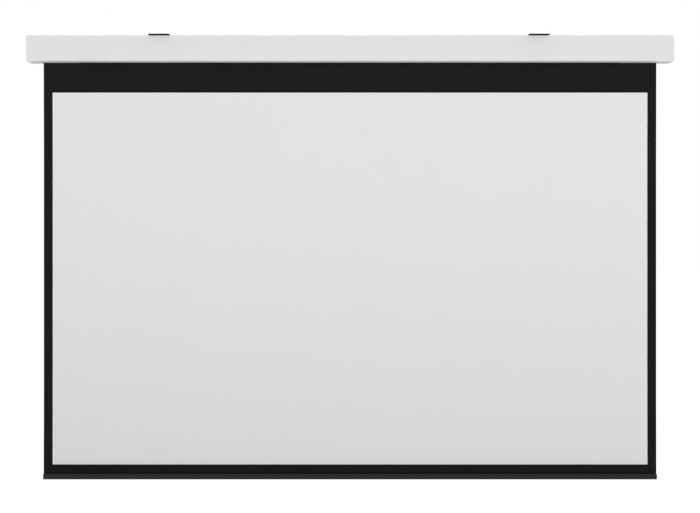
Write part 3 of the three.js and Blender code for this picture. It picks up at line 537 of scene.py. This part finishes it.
housing = same_ends("motor_tube", [(0, 0.016), (0, 0.0173), (0.0002, 0.0175)])
fitted(on_axis("motor_housing_tube", housing, 96), zinc_plate, "motor_tube")

# The switch block has a flat for its wires, and a groove between the two switches' cams.
flat_y = roller_y + 0.01225
switches = placed(turned("limit_switches", same_ends("limit_switch_block", [
    (0, 0), (0, 0.0154), (0.0003, motor_radius), (0.032, motor_radius), (0.032, 0.0142)]), 64), roller_axis)
cut(switches, started("wire_room", (-1.03, flat_y, -0.07), (-0.95, flat_y + motor_radius, -0.01)))
fitted(eased(switches, 0.0002), black_nylon, "limit_switch_block")

# Deep-drawn aluminium: pale, with fine rings round the axis. The can has a rolled groove near its
# closed end and a crimped rim at the other.
can_aluminium = bare_metal(
    "drawn_aluminium", "#C9CBCE", "#B9BCC0", 0.32, (0.01, 0.0004, 0.0004), 0.000004)
can_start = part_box("capacitor")[0].x
can = on_axis("capacitor_can", [(can_start + along, radius) for along, radius in [
    (0, 0), (0, 0.0148), (0.0008, motor_radius), (0.0057, motor_radius), (0.0065, 0.015),
    (0.0073, motor_radius), (0.067, motor_radius), (0.068, 0.0149), (0.068, 0.0138), (0.0674, 0.0134),
    (0.0674, 0)]])
fitted(can, can_aluminium, "capacitor")

for node in ("motor_bell_left", "motor_bell_right"):
    bell = same_ends(node, [
        (0, 0.0028), (0, 0.006), (0.001, 0.0065), (0.001, 0.0135), (0, 0.014), (0, motor_radius)])
    fitted(on_axis(f"{node}_turned", bell), can_aluminium, node)

# Laminations are 0.5 mm steel sheets stacked along the axis; they are drawn 1 mm thick.
laminated = bare_metal(
    "laminated_steel", "#74777B", "#5D6064", 0.45, (0.001, 0.05, 0.05), 0.00003)
fitted(from_model("stator_laminations", "stator", gear_edge), laminated, "stator")

# Enamelled copper wire: a warm brown metal with the strands running along the eight slots.
copper = bare_metal("enamelled_copper", "#B5693A", "#9A5226", 0.35, (0.02, 0.0006, 0.0006), 0.00004)
stator_slots = 8
coil_half = 0.0016
coil = started("coil", (-0.8779, 0.0098, -coil_half), (-0.7783, 0.0127, coil_half))
rounded(coil, coil_half / 2, 3, runs_along("X"))
coils = [placed(copied(coil, "coil"), roller_axis, (i * 2 * pi / stator_slots, 0, 0))
         for i in range(stator_slots)]
remove(coil)
fitted(joined("stator_windings", coils), copper)

# Hobbed and hardened steel: a darker grey with an even, fine machined grain.
hardened = bare_metal(
    "hobbed_steel", "#9B9DA0", "#85878A", 0.32, (0.002, 0.002, 0.002), 0.000004)
gears = {"ring_gear": "case", "rotor": "rotor", "planet_gear_a": "planet_a", "planet_gear_b": "planet_b",
         "planet_gear_c": "planet_c", "planet_carrier": "roller", "drive_clip": "roller"}
for node, body in gears.items():
    fitted(from_model(f"{node}_machined", node, gear_edge), hardened, node, body=body)

# Sintered bronze: dull and brown, with the pores that hold its oil.
sintered = bare_metal(
    "sintered_bronze", "#A9793F", "#8C5F2E", 0.5, (0.0005, 0.0005, 0.0005), 0.00003)
bush = same_ends("output_bush", [(0, 0.0063), (0, 0.0154), (0.0003, motor_radius)])
fitted(on_axis("output_bush_sintered", bush), sintered, "output_bush")

# The limit screws are natural nylon, milky and slightly clear, with a hex socket that faces the
# hole in the hatch.
natural_nylon = moulded("natural_nylon", "nylon_natural", "#DAD6CA", "#D0CCBF", 0.5, 0.00002,
                        Subsurface_Weight=0.2, Subsurface_Radius=(0.002, 0.002, 0.0015))
screw = turned("screw", [
    (0, 0), (0, 0.0021), (0.0004, 0.0025), (0.0117, 0.0025), (0.012, 0.0022), (0.012, 0)])
cut(screw, rod("socket", -0.001, 0.003, 0.0017, 6))
eased(screw, 0.0001, 1)
limit_screw_xs = {}
for way in ("up", "down"):
    node = f"limit_screw_{way}"
    limit_screw_xs[way] = middle_of(node).x
    foot = (limit_screw_xs[way], roller_y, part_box(node)[0].z)
    fitted(placed(copied(screw, f"{node}_socket_head"), foot, upright),
           natural_nylon, node, body=f"{way}_screw")
remove(screw)


# The roller
# An aluminium tube with a groove for the sheet's spline turns round the motor: on a ring over the
# motor's crown, on the drive wheel, and at the right on a plug with a steel pin in the bearing.
roller_half = 1.034
roller_radius = 0.025
roller_bore = 0.023
plug_radius = 0.0227
through = 0.1


def notched_round(radius, corners, steps=72):
    """A circle about the roller's axis that is open at the top, where a notch with these corners
    enters, (across, up) from the axis."""
    turn = asin(corners[0][0] / radius)
    points = []
    for i in range(steps + 1):
        at = pi / 2 + turn + i * (2 * pi - 2 * turn) / steps
        points.append((radius * cos(at), radius * sin(at)))
    return [(roller_y + a, roller_z + b) for a, b in points + corners]


# Aluminium as it leaves the press: pale, with die lines along the tube.
mill_aluminium = bare_metal(
    "mill_finish_aluminium", "#C5C7CA", "#B6B9BD", 0.36, (0.3, 0.0005, 0.0005), 0.000006)
groove = [(0.002, 0.0238), (0.0042, 0.0238), (0.0042, 0.0216),
          (-0.0042, 0.0216), (-0.0042, 0.0238), (-0.002, 0.0238)]
groove_back = [(0.0054, 0.0204), (-0.0054, 0.0204)]
outside, bore = notched_round(roller_radius, groove, 96), notched_round(roller_bore, groove_back)
tube = drawn_out("roller_tube_extrusion", outside, "X", -roller_half, roller_half)
cut(tube, drawn_out("bore", bore, "X", -roller_half - through, roller_half + through))
fitted(eased(tube, 0.0002), mill_aluminium, "roller_tube", body="roller")

# The nylon pieces in the tube are notched at the top, where the groove's back runs past them.
plug_outline = notched_round(plug_radius, [(0.0057, 0.0201), (-0.0057, 0.0201)])
for node, inner, flange, outer, radius in [("idler_plug", 1.012, 1.0343, 1.0363, 0.0043),
                                           ("crown_ring", -1.018, -1.0343, -1.0363, 0.0178)]:
    plug = drawn_out(f"{node}_moulding", plug_outline, "X", inner, flange)
    combined(plug, "UNION", placed(rod("rim", flange, outer, roller_radius, 72), roller_axis))
    cut(plug, placed(rod("hole", inner - through, outer + through, radius, 48), roller_axis))
    fitted(eased(plug, 0.0003), natural_nylon, node, body="roller")

# The drive wheel sits on the motor's square shaft. Lightening holes leave it a hub, a rim and
# spokes.
shaft_half = 0.0045
lightening_holes, hole_radius, hole_ring = 6, 0.0042, 0.0133
start, end = (corner.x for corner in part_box("drive_wheel"))
wheel = drawn_out("drive_wheel_moulding", plug_outline, "X", start, end)
cut(wheel, started("square", (start - through, roller_y - shaft_half, roller_z - shaft_half),
                   (end + through, roller_y + shaft_half, roller_z + shaft_half)))
for i in range(lightening_holes):
    at = i * 2 * pi / lightening_holes
    hole = rod("hole", start - through, end + through, hole_radius, 32)
    cut(wheel, placed(hole, (0, roller_y + hole_ring * cos(at), roller_z + hole_ring * sin(at))))
fitted(eased(wheel, 0.0004), natural_nylon, "drive_wheel", body="roller")

pin = same_ends("idler_pin", [(0, 0), (0, 0.0034), (0.0006, 0.004)])
fitted(on_axis("idler_pin_turned", pin), turned_steel, "idler_pin", body="roller")


# The sheet
# Glass-fibre cloth coated matt black, 0.5 mm thick, hangs from the rear of its roll. The picture is
# a matt white viewing layer welded on its front. Both are held flat by the bar.
sheet_half = 1.03
sheet_plane = -0.0300
sheet_top = -0.043
border_top = -1.435
sheet_end = -1.4701
sheet_thickness = 0.0005
picture_half = 1.0
picture_top = -0.185
layer_thickness = 0.00025
layer_gap = 0.00001
ripple_height = 0.0009
edge_curl = 0.0022
# Heights between which the waves fade in under the case and out over the bar
upper_fade = (-0.1, -0.45)
lower_fade = (-1.46, -1.2)
curl_start = 0.9


def soft_step(low, high, at):
    """Rises smoothly from 0 at low to 1 at high."""
    share = min(1, max(0, (at - low) / (high - low)))
    return share * share * (3 - 2 * share)


def hang(x, z):
    """How far the hanging cloth stands behind its plane: slow waves that die out at the case and
    at the bar, and side edges that curl a little backwards."""
    free = soft_step(*upper_fade, z) * soft_step(*lower_fade, z)
    waves = sin(7.1 * x + 1.3 * sin(2.2 * z)) + 0.5 * sin(15.7 * x - 3.4 * z + 0.8)
    curl = soft_step(curl_start, sheet_half, abs(x))
    return free * (ripple_height * (1.5 - waves) / 1.5 + edge_curl * curl)


def cloth(name, half, top, bottom, front, back, columns, rows):
    """A hanging layer of cloth between two faces, on the waves of the whole sheet."""
    alone()
    bpy.ops.mesh.primitive_grid_add(x_subdivisions=columns, y_subdivisions=rows, size=1,
                                    location=(0, front, (top + bottom) / 2), rotation=(pi / 2, 0, 0))
    piece = newest(name)
    piece.scale = (2 * half, top - bottom, 1)
    bpy.ops.object.transform_apply()
    for point in piece.data.vertices:
        point.co.y += hang(point.co.x, point.co.z)
    changed(piece, "SOLIDIFY", thickness=back - front, offset=-1)
    bpy.ops.object.shade_smooth_by_angle(angle=radians(30))
    return piece


def woven(name, light, dark, roughness, relief, shine, thread=0.0012):
    """Coated cloth: the weave shows softly through the coat. Its threads lie 0.5 mm apart, and are
    drawn 1.2 mm apart so that they show up close."""
    finish, tree, place = new_finish(name)
    ways = [added(tree, "TexWave", {
        "Vector": place, "Scale": pi / (10 * thread), "Distortion": 1.5, "Detail": 2,
        "Detail Scale": 3}, bands_direction=way).outputs["Fac"] for way in ("X", "Z")]
    weave = added(tree, "Math", {0: ways[0], 1: ways[1]}, operation="MULTIPLY")
    drift = added(tree, "TexNoise", {"Vector": place, "Scale": 1 / 0.25, "Detail": 4})
    worn = added(tree, "Math", {0: drift, 1: 0.3}, operation="MULTIPLY")
    tone = added(tree, "Math", {0: worn, 1: weave}, operation="ADD")
    return wired(finish, tone, dark, light, weave, relief, roughness, Specular_IOR_Level=shine)


# Coated glass cloth, dead matt so that it throws no light back, and an even, matt white vinyl face.
black_coated_cloth = woven("black_coated_cloth", "#252525", "#161616", 0.9, 0.00008, 0.05)
white_viewing_vinyl = woven("white_viewing_vinyl", "#EBEBEB", "#E7E7E7", 0.8, 0.00003, 0.15)

# The folded sheet ends 0.2 mm over the border that rides with the bar.
sheet_front = sheet_plane - sheet_thickness / 2
sheet_back = sheet_plane + sheet_thickness / 2

screen_cloth = cloth("screen_cloth", sheet_half, sheet_top, border_top, sheet_front, sheet_back, 120, 90)
fitted(screen_cloth, black_coated_cloth, "screen_fabric")
viewing_layer = cloth("viewing_layer", picture_half, picture_top, border_top,
                      sheet_front - layer_thickness, sheet_front - layer_gap, 110, 84)
fitted(viewing_layer, white_viewing_vinyl, "picture_surface")
for layer in (screen_cloth, viewing_layer):
    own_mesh(layer)

# Next to the bar the cloth is folded back over the hem rod and welded to itself, so it is double
# there, with the weld pressed in from behind.
hem_fold_top = -1.449
weld_high, weld_low = -1.4515, -1.4545
weld_depth = 0.0003
bottom_border = cloth("bottom_border", sheet_half, border_top, sheet_end, sheet_front, sheet_back, 120, 70)
with editing():
    pick(bottom_border, "VERT", lambda middle, way: way.y > 0.5 and middle.z < hem_fold_top)
    bpy.ops.transform.translate(value=(0, sheet_thickness, 0))
    pick(bottom_border, "VERT", lambda middle, way: way.y > 0.5 and weld_low < middle.z < weld_high)
    bpy.ops.transform.translate(value=(0, -weld_depth, 0))
fitted(bottom_border, black_coated_cloth, body="screen")

# The sheet's top edge is held in the roller's groove by a nylon spline, and three turns of sheet
# stay on the roller. Their last turn runs out to the sheet's plane at the rear.
fitted(from_model("sheet_spline", "fabric_spline", 0.0003), natural_nylon, "fabric_spline", body="roller")
wound_thickness = 0.0004
turns = 3.25
steps = 104
roll_radius = 0.02655
roll_build = 0.00135
run_out = 0.0008
tuck_back = 0.0012
tuck_radii = (0.0249, 0.0242)
line = []
for i in range(steps + 1):
    at = i / steps * turns * 2 * pi
    radius = roll_radius - roll_build * i / steps + run_out * soft_step(1.0, 0, at)
    line.append(Vector((-sheet_half, roller_y + radius * cos(at), roller_z + radius * sin(at))))
line += [Vector((-sheet_half, roller_y - tuck_back, roller_z + radius)) for radius in tuck_radii]
roll = traced("sheet_roll", line)
extruded((2 * sheet_half, 0, 0))
bpy.ops.object.mode_set(mode="OBJECT")
smoothed(changed(roll, "SOLIDIFY", thickness=wound_thickness, offset=0))
fitted(roll, black_coated_cloth, "fabric_roll", body="roller")


# The weight bar
# An extruded aluminium bar, anodised black, keeps the sheet straight. The sheet's hem rod lies in
# its upper chamber, a flat steel ballast in its lower one, and a moulded cap closes each end.
bar_top = -1.467
bar_height = 0.018
bar_half_depth = 0.009
bar_half = 1.031
bar_cap = 0.002
bar_body_half = 1.0287
hem_mouth = 0.0012
hem_chamber = 0.0029
hem_drop = 0.006
ridge_drop = 0.68
seat_gap = 0.0003
overrun = 0.001

# The bar's outline, from its front top corner round its bottom to its rear top corner
bar_sides = [(sheet_plane + bar_half_depth * share, bar_top - drop * bar_height) for share, drop in [
    (-0.85, 0), (-1, ridge_drop), (-0.6, 1), (0.6, 1), (1, ridge_drop), (0.85, 0)]]


def mirrored(piece, name):
    """A copy on the other side of the middle plane."""
    twin = copied(piece, name)
    bpy.ops.transform.resize(value=(-1, 1, 1), center_override=(0, 0, 0))
    bpy.ops.object.transform_apply()
    with editing():
        closed_up()
    return twin


chamber_turn = asin(hem_mouth / hem_chamber)
chamber_steps = 28
chamber = []
for i in range(chamber_steps + 1):
    turn = pi / 2 - chamber_turn - i * (2 * pi - 2 * chamber_turn) / chamber_steps
    chamber.append((sheet_plane + hem_chamber * cos(turn), bar_top - hem_drop + hem_chamber * sin(turn)))
bar_outline = [(sheet_plane - hem_mouth, bar_top), *bar_sides, (sheet_plane + hem_mouth, bar_top), *chamber]

# Anodised aluminium: a thin dyed oxide over the fine lines that the die leaves along the bar, about
# 0.4 mm apart and as long as the bar.
black_anodised, tree, place = new_finish("black_anodised_extrusion")
along = added(tree, "Mapping", {"Vector": place, "Scale": (0.4, 1 / 0.0004, 1 / 0.0004)})
lines = added(tree, "TexNoise", {"Vector": along, "Scale": 1, "Detail": 3})
wired(black_anodised, lines, "#373737", "#232323", lines, 0.00002, (0.48, 0.62), Specular_IOR_Level=0.06)

ballast_low, ballast_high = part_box("ballast_rod")
weight_bar = drawn_out("weight_bar_extrusion", bar_outline, "X", -bar_body_half, bar_body_half)
room = Vector((through, seat_gap, seat_gap))
cut(weight_bar, started("ballast_room", ballast_low - room, ballast_high + room))
fitted(eased(weight_bar, 0.0003, 3, 20), black_anodised, "weight_bar", body="screen")

# Moulded black ABS: matt, a shade lighter than the bar. Each cap has a tongue in the ballast's
# chamber and a notch for the sheet's edge.
black_abs = moulded("black_moulded_abs", "black_plastic", "#262626", "#212121", 0.5, 0.00002)
cap = drawn_out("bar_end_cap_right", bar_sides, "X", bar_half - bar_cap, bar_half)
tongue = started("tongue", (ballast_high.x + seat_gap, ballast_low.y, ballast_low.z),
                 (bar_half - bar_cap + overrun, ballast_high.y, ballast_high.z))
notch = started("notch", (bar_half - bar_cap - overrun, sheet_plane - hem_mouth, sheet_end - 0.0004),
                (sheet_half + seat_gap, sheet_plane + hem_mouth, bar_top + overrun))
combined(cap, "UNION", tongue)
cut(cap, notch)
eased(cap, 0.0003)
fitted(mirrored(cap, "bar_end_cap_left"), black_abs, "bar_cap_left", body="screen")
fitted(cap, black_abs, "bar_cap_right", body="screen")

hem_rod = turned("hem_rod_drawn", same_ends("hem_rod", [(0, 0), (0, 0.0024), (0.0003, 0.0026)]), 32)
smoothed(placed(hem_rod, (0, sheet_plane, bar_top - hem_drop)))
fitted(hem_rod, turned_steel, "hem_rod", body="screen")
ballast = started("ballast_flat_bar", ballast_low, ballast_high)
fitted(eased(ballast, 0.0005, 3), hardened, "ballast_rod", body="screen")


# The control box
# A grey moulded tray on the case's rear wall holds the receiver board: a green glass-epoxy board
# with two relays and a terminal block. Two PVC leads run to it, held all the way.
grey_abs = moulded("grey_moulded_abs", "grey_plastic", "#8E9194", "#85888B", 0.52, 0.00002)
fitted(from_model("control_box_tray", "control_box", 0.0006, 3), grey_abs, "control_box")

# Glass-epoxy under a green solder mask, smooth and glossy; the relays and the terminal block are
# smooth moulded plastic.
board_green = moulded("green_solder_mask", "board_green", "#2E6B41", "#265C37", 0.3, 0.00001, 0.002)
relay_blue = moulded("blue_relay_case", "board_green", "#2B4A7A", "#26426E", 0.4, 0.00001)
chip_black = moulded("black_epoxy_case", "board_green", "#1B1B1D", "#161618", 0.45, 0.00002)
terminal_grey = moulded("pale_terminal_plastic", "board_green", "#C9CBC6", "#BDBFBA", 0.45, 0.00002)
board_thickness = 0.0016
wire_wells = 4
board_low, board_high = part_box("receiver_board")
board_top = board_low.y + board_thickness
board = started("receiver_board_plate", board_low, (board_high.x, board_top, board_high.z))
fitted(eased(board, 0.0002, 1), board_green, "receiver_board")


def on_board(along_share, up_share, height):
    """A place over the board, by shares of its length and width, and a height over its face."""
    return Vector((board_low.x + along_share * (board_high.x - board_low.x), board_top + height,
                   board_low.z + up_share * (board_high.z - board_low.z)))


for name, finish, (a0, a1), (b0, b1), height in [
        ("board_relay_tall", relay_blue, (0.1, 0.3), (0.15, 0.55), 0.0084),
        ("board_relay_low", chip_black, (0.4, 0.55), (0.2, 0.5), 0.006),
        ("board_terminal_block", terminal_grey, (0.65, 0.9), (0.45, 0.85), 0.0042)]:
    part = started(name, on_board(a0, b0, 0), on_board(a1, b1, height))
    if name == "board_terminal_block":
        for i in range(wire_wells):
            well = rod("well", -0.003, 0.01, 0.0022, 24)
            mouth = on_board(a0 + (a1 - a0) * (i + 0.5) / wire_wells, (b0 + b1) / 2, height)
            cut(part, placed(well, mouth, (0, 0, pi / 2)))
    fitted(eased(part, 0.0005), finish)

# Soft black PVC: smooth, with a slight gloss. Each lead leaves its socket straight and enters the
# tray's end straight.
pvc = moulded("black_pvc_lead", "black_plastic", "#1F1F21", "#1A1A1C", 0.4, 0.00001, 0.002)
lead_pull = 0.012
inwards = (1, 0, 0)
tray_end = (-1.0103, -0.0168)
for name, radius, start, way, height in [
        ("inlet_lead", 0.0026, (-1.0617, -0.0185, -0.059), inwards, -0.047),
        ("motor_lead", 0.003, (-1.05, -0.03305, -0.043), (0, 1, 0), -0.0332)]:
    bpy.ops.curve.primitive_bezier_curve_add()
    line = newest("lead").data
    places = (start, (*tray_end, height))
    for point, at, run in zip(line.splines[0].bezier_points, places, (way, inwards)):
        point.co = Vector(at)
        point.handle_left = Vector(at) - Vector(run) * lead_pull
        point.handle_right = Vector(at) + Vector(run) * lead_pull
    line.resolution_u = 32
    line.bevel_depth = radius
    line.bevel_resolution = 6
    line.use_fill_caps = True
    bpy.ops.object.convert(target="MESH")
    with editing():
        closed_up()
    fitted(smoothed(newest(f"{name}_pvc"), 40), pvc, name)


# The end caps
# An ABS cup closes each end of the case, flush with it. Two countersunk zinc-plated screws hold it
# by the extrusion's ports, and the left one has the power inlet in a shallow recess.
cap_inner = 1.07145
cap_floor = 1.075
case_wall = 0.002
cap_corner = 0.0007
case_low, case_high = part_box("end_cap_right")
case_half, case_bottom = case_high.x, case_low.z
screw_ports = [middle_of(f"cap_screw_right_{i}").yz for i in (1, 2)]


def sink_hole(depth):
    """The cutter for a countersunk screw's hole, from its face along +X."""
    return turned("sink_hole", [
        (-overrun, 0), (-overrun, 0.0041), (0.0002, 0.0041), (0.0023, 0.002), (depth, 0.002), (depth, 0)], 48)


right_cap = started("case_end_cap_right", (cap_inner, case_low.y, case_bottom), case_high)
with editing():
    pick(right_cap, "FACE", lambda middle, way: way.x < -0.9)
    bpy.ops.mesh.inset(thickness=case_wall)
    extruded((cap_floor - cap_inner, 0, 0))
rounded(right_cap, cap_corner, 4, lambda middle, way: middle.x > case_half - 0.0001)
for y, z in screw_ports:
    cut(right_cap, placed(sink_hole(0.006), (case_half, y, z), (0, 0, pi)))
left_cap = mirrored(right_cap, "case_end_cap_left")

# The recess for the inlet's flange, and the opening for its body
inlet_low, inlet_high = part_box("power_inlet")
inlet_middle = middle_of("power_inlet")
flange = 0.0015
flange_corner = 0.0015
body_share = 0.8


def inlet_box(name, x0, x1, share, room):
    """A box about the inlet's middle, by a share of the flange's size and some room around it."""
    reach = (inlet_high - inlet_low) / 2 * share + Vector((0, room, room))
    return started(name, (x0, inlet_middle.y - reach.y, inlet_middle.z - reach.z),
                   (x1, inlet_middle.y + reach.y, inlet_middle.z + reach.z))


flange_foot = inlet_low.x + flange
flange_room = inlet_box("flange_room", inlet_low.x - through, flange_foot + seat_gap, 1, seat_gap)
rounded(flange_room, flange_corner + seat_gap, 5, runs_along("X"))
body_room = inlet_box("body_room", inlet_low.x - through, inlet_high.x + overrun, body_share, seat_gap)
cut(left_cap, flange_room, body_room)
for cap, end in [(left_cap, "left"), (right_cap, "right")]:
    fitted(eased(cap, 0.0002), white_abs, f"end_cap_{end}")


# The power inlet
# A two-pin panel socket of black moulded plastic with plated brass pins, pushed flush into the
# left cap. It has no lead of its own on the outside.
socket_half = (0.0055, 0.009)
socket_floor = -1.066
pin_spacing = 0.0094
inlet = inlet_box("power_inlet_body", inlet_low.x, flange_foot, 1, 0)
rounded(inlet, flange_corner, 5, runs_along("X"))
with editing():
    pick(inlet, "FACE", lambda middle, way: way.x > 0.9)
    extruded((0, 0, 0))
    bpy.ops.transform.resize(
        value=(1, body_share, body_share), center_override=(flange_foot, *inlet_middle.yz))
    extruded((inlet_high.x - flange_foot, 0, 0))
across, up = socket_half
socket_room = started("socket_room", (inlet_low.x - through, inlet_middle.y - across, inlet_middle.z - up),
                      (socket_floor, inlet_middle.y + across, inlet_middle.z + up))
rounded(socket_room, 0.005, 8, runs_along("X"))
cut(inlet, socket_room)
# Moulded PBT: a hard, smooth black plastic that stands mains heat.
black_pbt = moulded("black_moulded_inlet_plastic", "black_plastic", "#1C1C1E", "#18181A", 0.42, 0.00001)
fitted(eased(inlet, 0.00025), black_pbt, "power_inlet")

pins = []
for side in (-1, 1):
    pin = turned("pin", [(-1.075, 0), (-1.075, 0.0007), (-1.0744, 0.0012), (-1.065, 0.0012), (-1.065, 0)], 24)
    pins.append(placed(pin, (0, inlet_middle.y, inlet_middle.z + side * pin_spacing / 2)))
fitted(joined("power_inlet_pins", pins), turned_steel)


# The countersunk screws
# Cross-recess screws with flat heads, two in each cap and two in each hatch. They are steel, headed
# and rolled cold and then zinc plated, and are driven until their heads lie just below the face.
head_drop = 0.0002


def cross_screw(name, length):
    """One countersunk screw along +X, with its head's face just below zero."""
    screw = turned(name, [
        (head_drop, 0), (head_drop, 0.0037), (0.00026, 0.0038), (0.0004, 0.0038), (0.0023, 0.0017),
        (length, 0.0017), (length, 0)])
    for turn in (0, pi / 2):
        arm = started("arm", (-overrun, -0.002, -0.00045), (0.0016, 0.002, 0.00045))
        with editing():
            pick(arm, "FACE", lambda middle, way: way.x > 0.9)
            bpy.ops.transform.resize(value=(1, 0.35, 0.7), center_override=(0.0016, 0, 0))
        cut(screw, placed(arm, (0, 0, 0), (turn, 0, 0)))
    return eased(screw, 0.00008, 1, 50)


cap_screw = cross_screw("cap_screw", 0.0203)
hatch_screw = cross_screw("hatch_screw", 0.0053)
hatch_screw_x = middle_of("access_screw_right_1").x
hatch_screw_ys = [middle_of(f"access_screw_right_{i}").y for i in (1, 2)]
# How far round each screw was when it came up tight
driven_turns = iter([0.3, 1.1, 0.7, 0.1, 0.9, 0.5, 1.3, 0.2])
for side, end in [(-1, "left"), (1, "right")]:
    inwards = (0, 0, pi if side > 0 else 0)
    seats = [(cap_screw, "cap_screw", (side * case_half, *port), inwards) for port in screw_ports]
    seats += [(hatch_screw, "access_screw", (side * hatch_screw_x, y, case_bottom), upright)
              for y in hatch_screw_ys]
    for i, (model, node, seat, way) in enumerate(seats):
        number = i % 2 + 1
        name = f"{node.replace('access', 'hatch')}_{end}_{number}_crossed"
        screw = placed(copied(model, name), (0, 0, 0), (next(driven_turns), 0, 0))
        fitted(placed(screw, seat, way), zinc_plate, f"{node}_{end}_{number}")
remove(cap_screw, hatch_screw)


# The hatches
# A flush aluminium plate under each end of the slot, powder coated as the case is. Its tongue hooks
# over the case's lower wall, and two screws hold it. The left one has holes for setting the limits.
hatch_tongue = 0.01
hatch_lap = 0.004
key_hole = 0.004
for side, end in [(-1, "left"), (1, "right")]:
    hatch_low, hatch_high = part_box(f"access_plate_{end}")
    tip, outer = sorted((abs(hatch_low.x), abs(hatch_high.x)))
    inner = tip + hatch_tongue
    step = case_wall + seat_gap
    outline = [(side * x, case_bottom + z) for x, z in [
        (inner + seat_gap, 0), (outer, 0), (outer, case_wall), (inner + hatch_lap, case_wall),
        (inner + hatch_lap, step + case_wall), (tip, step + case_wall), (tip, step),
        (inner + seat_gap, step)]]
    hatch = drawn_out(f"hatch_{end}", outline, "Y", hatch_low.y, hatch_high.y)
    for y in hatch_screw_ys:
        cut(hatch, placed(sink_hole(0.004), (side * hatch_screw_x, y, case_bottom), upright))
    if side < 0:
        for x in limit_screw_xs.values():
            hole = rod("hole", -overrun, 0.004, key_hole, 48)
            cut(hatch, placed(hole, (x, roller_y, case_bottom), upright))
    fitted(eased(hatch, 0.0003), white_powder_coat, f"access_plate_{end}")


# The brackets
# Two bent steel plates over the case, 1.5 mm thick and powder coated black. The front ear takes a
# ceiling screw, the rear leg lies on the wall, and a bolt in the case's track clamps each one.
bracket_half = 0.035
bracket_plate = 0.0015
bend = 0.0025
ear_corner = 0.004
ear_hole, ear_hole_y = 0.0035, -0.1095
bolt_hole, bolt_y = 0.0033, middle_of("bracket_bolt_left").y
wall_slot_half = (0.012, 0.0035)
wall_slot_zs = (-0.0222, -0.045)
bracket_xs = {end: middle_of(f"bracket_{end}").x for end in ("left", "right")}
(_, ear_end, leg_end), (_, wall, ear_top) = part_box("bracket_left")

# Textured black powder paint: quite matt, with a fine mottle.
black_powder_coat = powder_coat("black_powder_coat", "#2E2E2E", "#181818", 0.85, 0.00012, 0)


def post(name, profile, y, steps=48):
    """A round shape that stands upright over a place on the case's middle line."""
    return placed(turned(name, profile, steps), (0, y, 0), upright)


ear_foot = ear_top - bracket_plate
leg_front = wall - bracket_plate
bracket = drawn_out("bracket", [
    (ear_end, ear_foot), (leg_front, ear_foot), (leg_front, leg_end), (wall, leg_end),
    (wall, ear_top), (ear_end, ear_top)], "X", -bracket_half, bracket_half)
near = 0.0006
for radius, y, z in [(bend, wall, ear_top), (bend - bracket_plate, leg_front, ear_foot)]:
    rounded(bracket, radius, 6, lambda middle, way: abs(way.x) > 0.9
            and abs(middle.y - y) < near and abs(middle.z - z) < near)
rounded(bracket, ear_corner, 6, lambda middle, way: abs(way.z) > 0.9 and middle.y < ear_end + near)
rounded(bracket, ear_corner, 6, lambda middle, way: abs(way.y) > 0.9 and middle.z < leg_end + near)
for radius, y in [(ear_hole, ear_hole_y), (bolt_hole, bolt_y)]:
    cut(bracket, placed(rod("hole", -0.002, 0.004, radius, 40), (0, y, 0), upright))
for z in wall_slot_zs:
    across, up = wall_slot_half
    slot = started("slot", (-across, wall - 0.004, z - up), (across, wall + 0.004, z + up))
    rounded(slot, up - 0.0001, 8, runs_along("Y"))
    cut(bracket, slot)
eased(bracket, 0.0002)
for end, x in bracket_xs.items():
    fitted(placed(copied(bracket, f"bracket_{end}_bent"), (x, 0, 0)),
           black_powder_coat, f"bracket_{end}", body=f"bracket_{end}")
remove(bracket)


# The track bolts and nuts
# Each bracket is clamped by a hammer-head bolt in the case's track and a flange nut, M6, both of
# zinc-plated steel.
bolt_radius = 0.003
thread_root = 0.00255
thread_pitch = 0.001
threads = 10
head_half = (0.011, 0.0077)
head_foot, head_top = -0.0063, -0.0023
thread = [(-0.0028, bolt_radius)]
for i in range(threads):
    thread += [(-0.0018 + i * thread_pitch, bolt_radius), (-0.0013 + i * thread_pitch, thread_root)]
thread += [(0.0079, 0.0029), (0.0083, 0.0025), (0.0083, 0)]
across, deep = head_half
bolt = started("bolt", (-across, bolt_y - deep, head_foot), (across, bolt_y + deep, head_top))
rounded(bolt, 0.0015, 4, runs_along("Z"))
combined(bolt, "UNION", post("shank", [(-0.0043, 0), (-0.0043, bolt_radius), *thread], bolt_y, 32))
eased(bolt, 0.0001, 1, 60)

nut = post("nut", [(0.0021, 0), (0.0021, 0.0073), (0.0023, 0.0075), (0.0029, 0.0075),
                   (0.0036, 0.0062), (0.0036, 0)], bolt_y, 50)
hexagon = post("hexagon", [(0.0026, 0), (0.0026, 0.00575), (0.0066, 0.00575), (0.0071, 0.0051),
                           (0.0071, 0)], bolt_y, 6)
bore = post("bore", [(0, 0), (0, 0.0037), (0.0022, 0.0036), (0.0027, 0.0031), (0.0066, 0.0031),
                     (0.0072, 0.0037), (0.009, 0.0037), (0.009, 0)], bolt_y, 44)
combined(nut, "UNION", hexagon)
cut(nut, bore)
eased(nut, 0.0001, 1, 50)
for end, x in bracket_xs.items():
    for model, name, node in [(bolt, "track_bolt", "bracket_bolt"), (nut, "flange_nut", "bracket_nut")]:
        fitted(placed(copied(model, f"{name}_{end}"), (x, 0, 0)), zinc_plate, f"{node}_{end}",
               body=f"bracket_{end}")
remove(bolt, nut)
